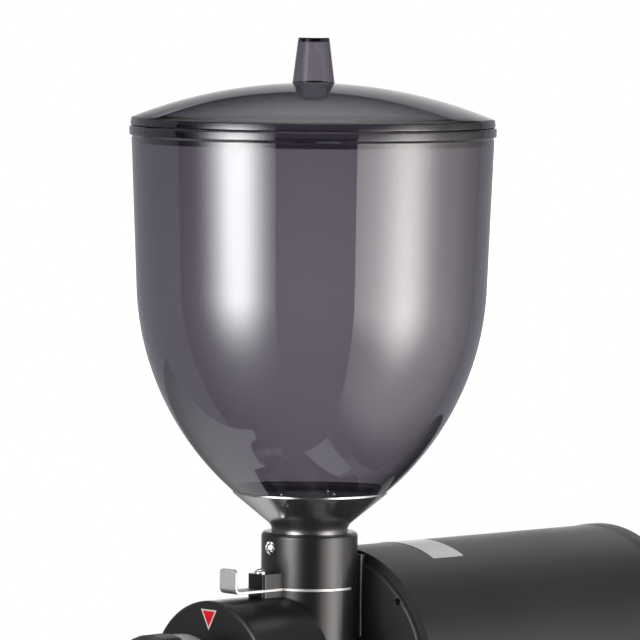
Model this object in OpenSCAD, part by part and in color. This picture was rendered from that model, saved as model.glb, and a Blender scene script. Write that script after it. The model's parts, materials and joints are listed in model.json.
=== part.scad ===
// Electric shop coffee grinder: a smoked hopper over a gated neck, the burr drum in front,
// a round motor behind, and a column on a flat base below.
// Millimetres. +Z is up and the front faces -Y. Reaches along the shaft are measured from
// the neck axis, and heights above the motor axis unless a comment says otherwise.

/* [Stand] */
// Height of the motor axis above the counter
axis_h = 290; // [275:1:320]
// Width of the base casting
base_w = 196; // [180:1:206]
// Reach of the base behind the column's foot
base_tail = 17; // [10:1:30]
// Height of the base casting
base_h = 26; // [24:1:34]
// Reach of the base's front edge ahead of the neck axis
base_reach = 100; // [90:1:115]
// Corner radius of the base seen from above
base_corner_r = 34; // [24:1:44]
// Rounding of the base's top edge
base_edge_r = 5; // [2:0.5:6]
// Wall of the base casting
base_wall = 5; // [4:0.5:7]
// Thickness of the base's deck
deck_t = 6; // [5:0.5:9]
// Thickness of the bottom plate
plate_t = 2; // [1.5:0.5:3]
// Height of the rubber feet
foot_h = 8; // [6:0.5:14]
// Diameter of the rubber feet
foot_d = 32; // [26:1:38]
// Distance of the feet's centres from the base's edges
foot_inset = 30; // [26:1:36]
// Width of the column
column_w = 92; // [84:1:104]
// Length of the column at its foot
column_foot_l = 150; // [136:1:164]
// Length of the column at the motor
column_head_l = 110; // [100:1:124]
// Corner radius of the column
column_corner_r = 18; // [12:1:24]
// Wall of the column
column_wall = 5; // [4:0.5:7]
// Thickness of the saddle under the motor
saddle_t = 8; // [6:0.5:12]

/* [Motor] */
// Outside diameter of the motor tube
motor_d = 147.5; // [140:0.5:156]
// Wall of the motor tube
tube_wall = 3; // [2:0.5:4]
// Length of the motor tube
motor_l = 205.6; // [202:0.1:228]
// Reach of the tube's front edge behind the neck axis
motor_reach = 28.8; // [27:0.1:34]
// Diameter of the raised face of the front shield
shield_face_d = 136; // [133:0.5:138]
// Rise of that face ahead of the tube's edge
shield_rise = 2.4; // [2.3:0.1:3]
// Thickness of the front shield
shield_t = 11; // [9:0.5:13]
// Outside diameter of the rear cap
cap_d = 148.6; // [148:0.1:158]
// Length of the rear cap behind the tube
cap_l = 13.6; // [10:0.1:17]
// Wall of the rear cap
cap_wall = 3; // [2:0.5:4]
// Number of cooling slots in the rear cap
cap_slots = 24; // [12:1:30]
// Length of the stator pack
stator_l = 80; // [70:1:84]
// Room between the winding heads and the rear shield
winding_room = 7; // [5:0.5:9]
// Length of the winding heads outside the stator
winding_l = 20; // [14:1:21]
// Diameter of the rotor
rotor_d = 73; // [66:1:76]
// Air gap between rotor and stator
air_gap = 0.4; // [0.3:0.05:0.8]
// Diameter of the shaft
shaft_d = 17; // [16:0.5:18]
// Outside diameter of the ball bearings
bearing_d = 40; // [38:1:42]
// Width of the ball bearings
bearing_w = 12; // [10:0.5:13]
// Length of the tube behind the rear shield, round the fan
fan_bay_l = 34.4; // [32:0.1:36]
// Thickness of the rear shield
rear_shield_t = 8; // [7:0.5:9]
// Room between the cooling fan and the posts of the rear cap
fan_post_gap = 2.8; // [2:0.1:8]
// Length of the cooling fan
fan_l = 18; // [14:1:20]
// Radius of the circle of tie rods
rod_circle_r = 65; // [64:0.1:65.4]
// Diameter of the tie rods
rod_d = 4; // [3:0.5:4.5]

/* [Head] */
// Diameter of the burr drum
drum_d = 99.4; // [98:0.2:104]
// Reach of the drum's front face ahead of the neck axis
drum_reach = 77.5; // [76:0.1:80]
// Rounding of the drum's front and back edges
drum_edge_r = 2.2; // [1:0.1:3]
// Thickness of the drum's back wall
drum_wall = 10; // [8:0.5:11]
// Diameter of the burr chamber
chamber_d = 80; // [79:0.2:82]
// Thickness of the front cover
cover_t = 9.5; // [9:0.1:10.5]
// Length of the cover's spigot in the burr chamber
cover_spigot_l = 2; // [1.5:0.1:3]
// Diameter of the neck
neck_d = 55.4; // [54:0.2:58]
// Height of the neck's top above the motor axis
neck_h = 85; // [82:0.5:90]
// Rounding of the neck's top edge
neck_edge_r = 2.6; // [1:0.1:3]
// Diameter of the throat under the gate
throat_d = 40; // [38:0.2:40.4]
// Diameter of the feed bore round the auger
feed_d = 41; // [40.6:0.1:42]
// Diameter of the tube round the feed bore
feed_tube_d = 60; // [56:0.5:62]
// Height of the web between neck and motor above the motor axis
web_h = 71; // [66:0.5:72]
// Width of that web
web_w = 37; // [32:0.5:40]
// Reach of the web's front edge behind the neck axis
web_reach = 22.5; // [20:0.1:24]
// Width of the head flange
flange_w = 84; // [80:1:90]
// Height of the head flange's top edge above the motor axis
flange_top = 18; // [16:0.5:20]
// Depth of the head flange's bottom edge below the motor axis
flange_drop = 52; // [48:1:54]
// Thickness of the head flange
flange_t = 8; // [7:0.5:9]
// Width of the outlet pad under the drum
pad_w = 64; // [60:1:68]
// Length of the outlet pad
pad_l = 34; // [32:0.5:36]
// Depth of the outlet pad's face below the motor axis
pad_drop = 56; // [54:0.5:60]
// Width of the outlet opening
outlet_w = 30; // [26:0.5:32]
// Length of the outlet opening
outlet_l = 21; // [18:0.5:22]

/* [Gate] */
// Height of the gate plate's middle above the motor axis
gate_h = 53.4; // [52.6:0.1:54]
// Thickness of the gate plate
gate_t = 1.5; // [1.2:0.1:2]
// Diameter of the gate's disc
gate_disc_d = 49; // [48:0.2:49.4]
// Reach of the gate's pivot ahead of the neck axis
pivot_reach = 38.5; // [38:0.1:39]
// Reach of the thumb tab ahead of the neck axis
tab_reach = 63.7; // [60:0.1:66]
// Width of the thumb tab
tab_w = 13.2; // [11:0.2:13.6]
// Height of the thumb tab above the plate
tab_h = 12.9; // [9:0.1:16]
// Outside radius of the bend between plate and tab
bend_r = 3.6; // [2.4:0.1:4.5]
// Width of the pivot boss
boss_w = 14; // [13.4:0.2:16]
// Reach of the pivot boss's front face ahead of the neck axis
boss_reach = 42.2; // [42:0.1:45]
// Height of the pivot boss above the motor axis
boss_h = 62.8; // [60:0.1:64]
// Diameter of the pivot screw
pivot_d = 4; // [3:0.5:4]

/* [Hopper] */
// Stand-out of the bead round the rim
bead_rim = 0.75; // [0.5:0.05:1.5]
// Height of the bead
bead_h = 5.4; // [4:0.2:7]
// Height of the rim above the motor axis
rim_h = 317.4; // [308:0.2:326]
// Outside diameter of the bowl under the bead
bowl_top_d = 208.5; // [205:0.5:209]
// How far the wall leans in from the bead to where it starts to turn
bowl_taper = 3.5; // [2:0.1:5]
// Height above the motor axis where the wall starts to turn in
bowl_turn_h = 224.2; // [220:0.2:228]
// Radius of the bowl's turn
bowl_arc_r = 161.8; // [156:0.2:164]
// Outside diameter of the bowl's foot
bowl_foot_d = 90; // [88:0.5:94]
// Wall of the bowl
bowl_wall = 3; // [2.4:0.1:3.6]
// Diameter of the funnel's ledge
ledge_d = 89; // [86:0.5:92]
// Thickness of the funnel's ledge
ledge_t = 1.3; // [1:0.1:2]
// Height of the funnel's lip inside the bowl
lip_h = 0.8; // [0.5:0.1:2]
// Outside diameter of the funnel's spigot
spigot_d = 43.6; // [43:0.1:44.4]
// Radius where the funnel's cone runs into its spigot
funnel_blend_r = 7; // [4:0.5:9]
// Wall of the funnel
funnel_wall = 2.2; // [1.8:0.1:2.4]
// Height of the hopper screw above the motor axis
hopper_screw_h = 76.6; // [70:0.1:79]
// Turn of the hopper screw round the neck, from +X
hopper_screw_turn = -98; // [-140:1:-60]

/* [Lid] */
// Distance of the lid's edge inside the bead
lid_inset = 0.5; // [0.2:0.1:2]
// Height of the lid's edge
lid_edge_h = 5.3; // [3.5:0.1:7]
// Rise of the lid's dome over its edge
dome_rise = 19.8; // [14:0.1:28]
// Wall of the lid
lid_wall = 2.5; // [2:0.1:3]
// Depth of the lid's skirt in the bowl
skirt_h = 9.7; // [6:0.1:14]
// Diameter of the lid's knob at its foot
lid_knob_foot_d = 24.2; // [20:0.2:30]
// Diameter of the lid's knob at its top
lid_knob_top_d = 17.8; // [14:0.2:19]
// Height of the lid's knob over the dome
lid_knob_h = 25.5; // [18:0.5:34]

/* [Grind adjustment] */
// Diameter of the adjusting knob
knob_d = 67.4; // [62:0.2:72]
// Length of the adjusting knob
knob_l = 18; // [15:0.5:22]
// Number of grip flutes round the knob
knob_flutes = 18; // [12:1:24]
// Diameter of the dial ring
ring_d = 65; // [60:0.2:66]
// Length of the dial ring
ring_l = 13.2; // [10:0.1:15]
// Diameter of the boss on the front cover
dial_hub_d = 44; // [40:0.5:48]
// Length of the boss on the front cover
dial_hub_l = 17; // [15:0.5:20]
// Diameter of the adjusting spindle
spindle_d = 16; // [14:0.5:17]
// Diameter of the spindle's thread in the burr carrier
thread_d = 14; // [12:0.5:14]
// Diameter of the spindle's thrust collar
collar_d = 24; // [22:0.5:28]
// Thickness of that collar
collar_t = 2.5; // [2:0.1:3]
// Height of the red pointer
pointer_h = 11.8; // [8:0.2:14]
// Width of the red pointer
pointer_w = 13; // [9:0.2:15]
// Height of the red pointer's top edge above the motor axis
pointer_top = 45; // [43:0.1:45.4]

/* [Burrs] */
// Diameter of the burrs
burr_d = 71; // [68:0.5:72]
// Bore of the burrs
burr_bore_d = 39; // [37:0.5:40]
// Thickness of each burr
burr_t = 8; // [7:0.1:9]
// Distance between the burrs at the middle setting
burr_gap = 1; // [0.9:0.05:1.4]
// Number of fine teeth on each burr
burr_teeth = 30; // [18:2:36]
// Number of breaker teeth on each burr
breaker_teeth = 10; // [6:1:12]
// Thickness of the fixed burr's carrier
carrier_t = 5; // [4.5:0.1:6]
// Thickness of the rotating burr's hub
hub_t = 4.5; // [4:0.1:5.5]
// Axial pitch of the feed auger
auger_pitch = 32; // [24:1:40]
// Diameter of the feed auger's core
auger_core_d = 24; // [22:0.5:26]

/* [Outlet] */
// Outside diameter of the spout
spout_d = 42; // [40:0.5:44]
// Wall of the spout
spout_wall = 2.5; // [2:0.1:3]
// Length of the spout's tapered part
spout_taper_l = 34; // [28:1:40]
// Length of the spout's round end
spout_end_l = 20; // [18:0.5:28]
// Width of the bag clamp
clamp_w = 19; // [16:0.5:21]
// Diameter of the clamp's pin
clamp_pin_d = 4; // [3:0.5:5]
// Length of the clamp's thumb plate
thumb_l = 26; // [20:1:30]

/* [Switch] */
// Height of the switch above the counter
switch_h = 140; // [120:1:165]
// Reach of the switch behind the neck axis
switch_reach = 115; // [105:1:150]
// Height of the switch's bezel
switch_bezel_h = 34; // [31:0.5:40]
// Width of the switch's bezel
switch_bezel_w = 26; // [23:0.5:30]
// Swing of the rocker from off to on
rocker_swing = 12; // [8:1:14]

/* [Hidden] */
$fn = 72;
// Radial clearance of pins, shafts and seats
fit = 0.05;
// Clearance between pieces that move past each other
gap = 0.3;
// Overlength of cutting tools
over = 1;
// Slab height at the ends of a loft
slab = 0.01;
// Facets round a lofted corner
loft_fn = 32;

// Radii
motor_r = motor_d / 2;
tube_bore_r = motor_r - tube_wall;
shield_r = tube_bore_r - fit;
cap_r = cap_d / 2;
rotor_r = rotor_d / 2;
shaft_r = shaft_d / 2;
bearing_r = bearing_d / 2;
drum_r = drum_d / 2;
chamber_r = chamber_d / 2;
neck_r = neck_d / 2;
throat_r = throat_d / 2;
feed_r = feed_d / 2;
burr_r = burr_d / 2;
burr_bore_r = burr_bore_d / 2;
spindle_r = spindle_d / 2;
thread_r = thread_d / 2;
spigot_r = spigot_d / 2;
spigot_bore_r = spigot_r - funnel_wall;
bead_r = bowl_top_d / 2 + bead_rim;
ledge_r = ledge_d / 2;
foot_r = foot_d / 2;
rod_r = rod_d / 2;
pivot_r = pivot_d / 2;
gate_disc_r = gate_disc_d / 2;

// Stations along the shaft, from the neck axis, front to back
drum_front = -drum_reach;
cover_back = drum_front + cover_t;
chamber_front = cover_back + cover_spigot_l;
collar_front = chamber_front + gap;
collar_back = collar_front + collar_t;
// Room for the burr carrier's travel behind the collar
carrier_room = 1.5;
carrier_front = collar_back + carrier_room;
carrier_back = carrier_front + carrier_t;
fixed_burr_back = carrier_back + burr_t;
burr_front = fixed_burr_back + burr_gap;
burr_back = burr_front + burr_t;
hub_back = burr_back + hub_t;
// Room between the rotating hub and the chamber's back wall
hub_room = 1.2;
chamber_back = hub_back + hub_room;
drum_back = chamber_back + drum_wall;
dial_hub_front = drum_front - dial_hub_l;
ring_back = dial_hub_front - gap;
ring_front = ring_back - ring_l;
knob_front = ring_front - knob_l;
tube_back = motor_reach + motor_l;
cap_back = tube_back + cap_l;
cap_screw_head = 2;
shield_front = motor_reach - shield_rise;
shield_back = shield_front + shield_t;
rear_shield_back = tube_back - fan_bay_l;
rear_shield_reach = rear_shield_back - rear_shield_t;
stator_reach = rear_shield_reach - winding_room - winding_l - stator_l / 2;
outlet_y = (fixed_burr_back + burr_front) / 2;

// The neck axis lies here in the finished part, whose middle is at the origin
neck_y = -(knob_front + cap_back + cap_screw_head) / 2;

// Bearings: each is bored into its shield behind a lip
bearing_lip = 5;
bearing_boss_wall = 6;
bearing_boss_r = bearing_r + bearing_boss_wall;
front_bearing_y = shield_front + bearing_lip;
rear_bearing_y = rear_shield_back - bearing_lip - bearing_w;
bearing_boss_over = 2;

// Seal behind the feed bore
seal_r = 14;
seal_t = 6;
seal_y = shield_front - seal_t;
seal_wall = 3;
feed_back = seal_y - seal_wall;

// Bowl: the drafted wall runs into an arc about this centre
bowl_bead_h = rim_h - bead_h;
bowl_draft = atan(bowl_taper / (bowl_bead_h - bowl_turn_h));
bowl_centre_r = bowl_top_d / 2 - bowl_taper - bowl_arc_r * cos(bowl_draft);
bowl_centre_h = bowl_turn_h + bowl_arc_r * sin(bowl_draft);
bowl_foot_turn = acos((bowl_foot_d / 2 - bowl_centre_r) / bowl_arc_r);
bowl_foot_h = bowl_centre_h - bowl_arc_r * sin(bowl_foot_turn);
bowl_inner_r = bowl_arc_r - bowl_wall;
bowl_inner_turn = asin((bowl_centre_h - bowl_foot_h) / bowl_inner_r);
bowl_foot_bore_r = bowl_centre_r + bowl_inner_r * cos(bowl_inner_turn);
bowl_mouth_r = bowl_top_d / 2 - bowl_wall / cos(bowl_draft);

// Funnel: the cone touches the blend arc and ends at the ledge
ledge_h = bowl_foot_h - ledge_t;
blend_r = spigot_r + funnel_blend_r;
blend_reach = norm([ledge_r - blend_r, ledge_h - neck_h]);
cone_turn = atan2(ledge_h - neck_h, ledge_r - blend_r) + acos(funnel_blend_r / blend_reach);
cone_angle = 180 - cone_turn;
inner_blend_r = funnel_blend_r + funnel_wall;
cone_in_r = blend_r + inner_blend_r * cos(cone_turn);
cone_in_h = neck_h + inner_blend_r * sin(cone_turn);
lip_r = bowl_foot_bore_r - gap;
lip_bore_r = lip_r - funnel_wall;
lip_foot_h = cone_in_h + (lip_bore_r - cone_in_r) / tan(cone_angle);

// Gate slot and the shoulder that carries the spigot
gate_low = gate_h - gate_t / 2;
gate_high = gate_h + gate_t / 2;
gate_play = 0.12;
slot_low = gate_low - gate_play;
slot_h = gate_t + 2 * gate_play;
shoulder_t = 1.8;
shoulder_h = slot_low + slot_h + shoulder_t;
// The plate's front part fills the slot, and the neck's wall closes the rest
gate_front_r = neck_r - 0.2;
gate_front_turn = 18;
slot_wall_turn = 24;
slot_front_turn = 200;
slot_bore_r = gate_disc_r + 0.8;
gate_swing_room = 84;

// Lid dome
lid_r = bead_r - lid_inset;
dome_foot_h = rim_h + lid_edge_h;
dome_r = (lid_r * lid_r + dome_rise * dome_rise) / (2 * dome_rise);
dome_centre_h = dome_foot_h + dome_rise - dome_r;
dome_in_r = dome_r - lid_wall;
lid_knob_top = dome_foot_h + dome_rise + lid_knob_h;
skirt_play = 0.9;
skirt_r = bowl_mouth_r - skirt_play;

// Stand
column_shift = 8;
column_mid = stator_reach + column_shift;
base_back = column_mid + column_foot_l / 2 + base_tail;
base_l = base_reach + base_back;
base_mid = base_l / 2 - base_reach;
deck_h = foot_h + base_h;
boss_r = 8;
column_boss_h = 30;
column_bolt_x = column_w / 2 - column_wall - boss_r + 1;
column_bolt_y = column_foot_l / 2 - column_wall - boss_r + 1;
foot_x = base_w / 2 - foot_inset;
foot_y = base_l / 2 - foot_inset;
foot_boss_r = 9;

// Screws: shank radius, head radius and head height of each size
m4 = [2, 3.6, 3];
m5 = [2.5, 4.5, 3];
m6 = [3, 5, 6];
hopper_screw_size = [2.5, 4, 2.8];
// The flat on the neck that the hopper screw's head sits on
spot_face_t = 0.5;
spot_face_r = hopper_screw_size[1] + 0.8;

// Screw circles
cover_screw_r = (chamber_r + drum_r) / 2 - 0.6;
cover_screw_turns = [30, 150, 270];
cover_screw_l = 18;
counterbore_t = 4;
cap_post_r = 5;
cap_post_depth = 13.95;
cap_post_circle_r = motor_r - cap_post_depth;
cap_post_turns = [0, 90, 180, 270];
rod_turns = [45, 135, 225, 315];
rod_recess = 5;
burr_screw_r = (burr_bore_r + burr_r) / 2 + 1.5;
burr_screw_turns = [0, 120, 240];
burr_screw_sink = 0.6;
burr_screw_bite = 3.5;
dowel_r = 2.5;
dowel_turns = [60, 180, 300];
dowel_press = 6;
dowel_end = carrier_back - 1;
flange_inset = 7.5;
flange_bolt_x = flange_w / 2 - flange_inset;
flange_bolt_z = [flange_top - flange_inset, flange_inset - flange_drop];
flange_bolt_bite = 7;
motor_bolt_turn = 18;
motor_bolt_inset = 22;
motor_bolt_y = column_head_l / 2 - motor_bolt_inset;

// Adjuster: the spindle's bush, and the nose that carries ring and knob
bush_wall = 3;
nose_r = 6;
knob_dish_t = 2.5;
knob_screw_size = [3, 9, 2.3];
knob_screw_l = 14;
dowel_circle_r = burr_screw_r;

// Shaft: the boss of the rotating hub, its nut, the rotor's seat and the fan
hub_boss_l = 4;
shaft_nut_t = 6;
rotor_seat_r = shaft_r + 4;
stator_front = stator_reach - stator_l / 2;
stator_back = stator_reach + stator_l / 2;
fan_room = 5;
fan_front = rear_shield_back + fan_room;

// Fastener lengths
cap_screw_l = 12;
column_bolt_bite = 22;
foot_screw_bite = 14;
foot_recess = 5;
gate_screw_bite = 9;

// The column's height to the level of the saddle's horns
column_h = axis_h - deck_h - motor_r / 2;

// Switch: its body in the column's wall, and a rocker that turns on two pins
bezel_lip = 2;
bezel_t = 2;
switch_w = switch_bezel_w - 2 * bezel_lip;
switch_l = switch_bezel_h - 2 * bezel_lip;
switch_t = 24;
rocker_w = switch_w - 2 * bezel_lip;
rocker_l = switch_l - 2 * bezel_lip;
rocker_pin_r = 1.2;
rocker_x = column_w / 2 + 0.5;

// Cord gland in the base's back wall
gland_thread_r = 8;
gland_bore_r = 4;
gland_x = -44;
gland_h = foot_h + plate_t + 9;

// Spout: flange, tapered chute and round end, below the motor axis
spout_r = spout_d / 2;
spout_bore_r = spout_r - spout_wall;
spout_flange_t = 4;
spout_taper_top = -pad_drop - spout_flange_t;
spout_taper_low = spout_taper_top - spout_taper_l;
spout_low = spout_taper_low - spout_end_l;
spout_screw_x = pad_w / 2 - 7;
spout_screw_bite = 10;

// Bag clamp: a lever on a pin between two ears, with a pad against the spout
clamp_pin_r = clamp_pin_d / 2;
barrel_r = clamp_pin_r + 2.5;
clamp_y = outlet_y - spout_r - 8;
clamp_h = spout_taper_low - 6;
ear_t = 4;
lever_t = 2;
thumb_lean = 32;
clamp_arm_l = 14;
clamp_pad_t = 2.6;
arm_back = outlet_y - spout_r - gap - clamp_pad_t;

// Colours
smoke = [0.30, 0.29, 0.34, 0.55];
cast_black = [0.10, 0.10, 0.105];
satin_black = [0.14, 0.14, 0.145];
steel = [0.75, 0.75, 0.76];
bright = [0.85, 0.85, 0.86];
alloy = [0.62, 0.63, 0.64];
plastic_black = [0.07, 0.07, 0.075];
rubber_black = [0.05, 0.05, 0.05];
iron = [0.35, 0.35, 0.37];
copper = [0.72, 0.42, 0.22];
bronze = [0.70, 0.52, 0.28];
signal_red = [0.85, 0.08, 0.15];
pale = [0.80, 0.80, 0.77];

// Points along an arc about a centre
function arc_points(cx, cy, r, from, to, steps) =
    [for (i = [0 : steps]) let (a = from + (to - from) * i / steps) [cx + r * cos(a), cy + r * sin(a)]];

// A place measured from the neck axis, with heights from the counter
module placed() translate([0, neck_y, 0]) children();
// Heights from the motor axis, on the neck axis
module above(h) placed() translate([0, 0, axis_h + h]) children();
// Drawn as seen from the front, growing from a station towards the front
module forward(y) placed() translate([0, y, axis_h]) rotate([90, 0, 0]) children();
// Growing from a station towards the back
module backward(y) placed() translate([0, y, axis_h]) rotate([-90, 0, 0]) children();
// A round bar about the motor axis between two stations
module axis_bar(from, to, r) backward(from) cylinder(h = to - from, r = r);
// Copies round the motor axis, as seen from the front, growing forwards from a station
module round_axis(y, turns, r) {
    for (t = turns)
        forward(y) rotate([0, 0, t]) translate([r, 0, 0]) children();
}

// A rectangle with round corners
module rounded_rect(w, l, r) {
    square([w - 2 * r, l], center = true);
    square([w, l - 2 * r], center = true);
    for (sx = [-1, 1], sy = [-1, 1])
        translate([sx * (w / 2 - r), sy * (l / 2 - r)]) circle(r = r);
}

// A screw: the head grows up from the seat and the shank runs down. A head with a socket is
// straight, and one with a slot is domed
module screw(size, length, socket = true) {
    head_edge = 0.5;
    socket_r = size[1] * 0.5;
    crown_steps = 6;
    crown = size[2] * 0.75;
    crown_r = (size[1] * size[1] + crown * crown) / (2 * crown);
    difference() {
        union() {
            translate([0, 0, -length]) cylinder(h = length, r = size[0]);
            if (socket) {
                cylinder(h = size[2] - head_edge, r = size[1]);
                translate([0, 0, size[2] - head_edge])
                    cylinder(h = head_edge, r1 = size[1], r2 = size[1] - head_edge);
            } else
                rotate_extrude() polygon(concat([[0, 0], [size[1], 0]],
                    arc_points(0, size[2] - crown_r, crown_r, acos(size[1] / crown_r), 90, crown_steps)));
        }
        if (socket)
            translate([0, 0, size[2] / 2]) cylinder(h = size[2], r = socket_r, $fn = 6);
        else
            translate([-size[1] - over, -size[0] / 5, size[2] * 0.55])
                cube([2 * (size[1] + over), size[0] * 0.4, size[2]]);
    }
}

// A countersunk screw whose head ends at the seat
module flat_screw(size, length) {
    head_t = size[1] - size[0];
    slot_w = size[0] * 0.4;
    difference() {
        union() {
            translate([0, 0, -length]) cylinder(h = length, r = size[0]);
            translate([0, 0, -head_t]) cylinder(h = head_t, r1 = size[0], r2 = size[1]);
        }
        translate([-size[1] - over, -slot_w / 2, -head_t / 2])
            cube([2 * (size[1] + over), slot_w, head_t]);
    }
}

// The hole for a countersunk screw, wider by the fit
module flat_screw_hole(size, length) {
    head_t = size[1] - size[0];
    translate([0, 0, -length - over]) cylinder(h = length + 2 * over, r = size[0] + fit);
    translate([0, 0, -head_t]) cylinder(h = head_t, r1 = size[0] + fit, r2 = size[1] + fit);
    cylinder(h = burr_t, r = size[1] + fit);
}

// Hopper

module hopper_lid() {
    dome_steps = 24;
    knob_foot_r = lid_knob_foot_d / 2;
    knob_top_r = lid_knob_top_d / 2;
    knob_edge = 0.6;
    edge_turn = acos(lid_r / dome_r);
    foot_turn = acos(knob_foot_r / dome_r);
    skirt_in_r = skirt_r - lid_wall;
    bore_foot_r = knob_foot_r - lid_wall;
    bore_top_r = knob_top_r - lid_wall;
    in_edge_turn = acos(skirt_in_r / dome_in_r);
    in_foot_turn = acos(bore_foot_r / dome_in_r);
    color(smoke) above(0) rotate_extrude() polygon(concat(
        [[skirt_r, rim_h], [lid_r, rim_h]],
        arc_points(0, dome_centre_h, dome_r, edge_turn, foot_turn, dome_steps),
        [[knob_top_r, lid_knob_top - knob_edge], [knob_top_r - knob_edge, lid_knob_top], [0, lid_knob_top],
         [0, lid_knob_top - lid_wall], [bore_top_r, lid_knob_top - lid_wall]],
        arc_points(0, dome_centre_h, dome_in_r, in_foot_turn, in_edge_turn, dome_steps),
        [[skirt_in_r, rim_h - skirt_h], [skirt_r, rim_h - skirt_h]]));
}

module hopper_bowl() {
    arc_steps = 28;
    bead_edge = 0.8;
    color(smoke) above(0) rotate_extrude() polygon(concat(
        [[bowl_mouth_r, rim_h], [bead_r - bead_edge, rim_h], [bead_r, rim_h - bead_edge],
         [bead_r, bowl_bead_h + bead_edge], [bowl_top_d / 2, bowl_bead_h]],
        arc_points(bowl_centre_r, bowl_centre_h, bowl_arc_r, -bowl_draft, -bowl_foot_turn, arc_steps),
        arc_points(bowl_centre_r, bowl_centre_h, bowl_inner_r, -bowl_inner_turn, -bowl_draft, arc_steps),
        [[bowl_mouth_r, bowl_bead_h]]));
}

module hopper_funnel() {
    blend_steps = 8;
    color(satin_black) above(0) rotate_extrude() polygon(concat(
        [[lip_r, bowl_foot_h], [ledge_r, bowl_foot_h], [ledge_r, ledge_h]],
        arc_points(blend_r, neck_h, funnel_blend_r, cone_turn, 180, blend_steps),
        [[spigot_r, shoulder_h], [spigot_bore_r, shoulder_h]],
        arc_points(blend_r, neck_h, inner_blend_r, 180, cone_turn, blend_steps),
        [[lip_bore_r, lip_foot_h], [lip_bore_r, bowl_foot_h + lip_h], [lip_r, bowl_foot_h + lip_h]]));
}

// Places a thing on the hopper screw's axis, pointing out of the neck
module at_hopper_screw(r) {
    above(hopper_screw_h) rotate([0, 0, hopper_screw_turn]) translate([r, 0, 0])
        rotate([0, 90, 0]) children();
}

module hopper_screw() {
    seat_r = neck_r - spot_face_t;
    color(bright) at_hopper_screw(seat_r) screw(hopper_screw_size, seat_r - spigot_r - fit, socket = false);
}

// Gate

module gate_outline() {
    arm_end = tab_reach - bend_r;
    difference() {
        union() {
            circle(r = gate_disc_r);
            intersection() {
                circle(r = gate_front_r);
                translate([-neck_r, -neck_d]) square([neck_d, neck_d + gate_front_r * sin(gate_front_turn)]);
            }
            translate([-tab_w / 2, -arm_end]) square([tab_w, arm_end]);
        }
        translate([0, -pivot_reach]) circle(r = pivot_r + fit);
    }
}

// The bent end of the gate's arm, seen from the side
module tab_profile() {
    translate([-tab_reach, gate_low + bend_r]) square([gate_t, gate_t + tab_h - bend_r]);
    translate([bend_r - tab_reach, gate_low + bend_r]) intersection() {
        difference() {
            circle(r = bend_r);
            circle(r = bend_r - gate_t);
        }
        translate([-bend_r, -bend_r]) square(bend_r);
    }
    translate([bend_r - tab_reach, gate_low]) square([bend_r, gate_t]);
}

// The plate slides flat in the slot, and its arm is bent up into a thumb tab
module gate_plate() {
    tab_corner = 2.5;
    tall = gate_t + tab_h;
    color(bright) {
        above(gate_low) linear_extrude(gate_t) gate_outline();
        intersection() {
            above(0) translate([-tab_w / 2 - over, 0, 0]) rotate([90, 0, 90])
                linear_extrude(tab_w + 2 * over) tab_profile();
            above(gate_low) rotate([90, 0, 0]) linear_extrude(tab_reach + over) {
                translate([0, tall / 2]) rounded_rect(tab_w, tall, tab_corner);
                translate([-tab_w / 2, 0]) square([tab_w, tall / 2]);
            }
        }
    }
}

module gate_screw() {
    head_rim = 1.5;
    head_t = 3;
    color(bright) above(boss_h) translate([0, -pivot_reach, 0])
        screw([pivot_r, pivot_r + head_rim, head_t], boss_h - gate_h + gate_screw_bite, socket = false);
}

// Grinding head

// The drum, from the cover to its back edge
module drum_form() {
    edge_steps = 5;
    long = drum_back - cover_back;
    backward(cover_back) rotate_extrude() polygon(concat([[0, 0], [drum_r, 0]],
        arc_points(drum_r - drum_edge_r, long - drum_edge_r, drum_edge_r, 0, 90, edge_steps), [[0, long]]));
}

module neck_form() {
    edge_steps = 5;
    above(0) rotate_extrude() polygon(concat([[0, 0], [neck_r, 0]],
        arc_points(neck_r - neck_edge_r, neck_h - neck_edge_r, neck_edge_r, 0, 90, edge_steps),
        [[0, neck_h]]));
}

// The lug in front of the neck that holds the gate's pivot, standing on the drum
module boss_form() {
    root = drum_r - 8;
    corner = 2;
    above(root) linear_extrude(boss_h - root)
        translate([0, -boss_reach / 2]) rounded_rect(boss_w, boss_reach, corner);
}

module flange_form() {
    corner = 10;
    forward(shield_front) translate([0, (flange_top - flange_drop) / 2, 0])
        linear_extrude(flange_t) rounded_rect(flange_w, flange_top + flange_drop, corner);
}

// The plate that stiffens the neck against the motor, rounded in front and trimmed flat at the back
module web_form() {
    corner = 2;
    long = shield_front + corner - web_reach;
    placed() translate([0, web_reach + long / 2, axis_h]) linear_extrude(web_h)
        rounded_rect(web_w, long, corner);
}

module pad_form() {
    corner = 7;
    root = drum_r * 0.6;
    above(-pad_drop) translate([0, outlet_y, 0]) linear_extrude(pad_drop - root)
        rounded_rect(pad_w, pad_l, corner);
}

// The space that the gate sweeps, in the slot's plane
module slot_outline() {
    sweep_r = pivot_reach + gate_disc_r + gap;
    inner_r = pivot_reach - neck_r;
    far = 3 * neck_r;
    circle(r = slot_bore_r);
    // The way out on the far side of the pivot
    translate([0, -pivot_reach]) difference() {
        intersection() {
            circle(r = sweep_r);
            polygon([[0, 0], [0, far], [-far, far],
                [-far, far * cos(gate_swing_room) / sin(gate_swing_room)]]);
        }
        circle(r = inner_r);
    }
    // The front of the slot, where the plate shows
    polygon(concat([[0, 0]], arc_points(0, 0, neck_r + over, slot_wall_turn,
        slot_wall_turn - slot_front_turn, 20)));
    // The split through the boss
    translate([-boss_w, -pivot_reach - boss_w]) square([2 * boss_w, pivot_reach + boss_w]);
}

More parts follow.
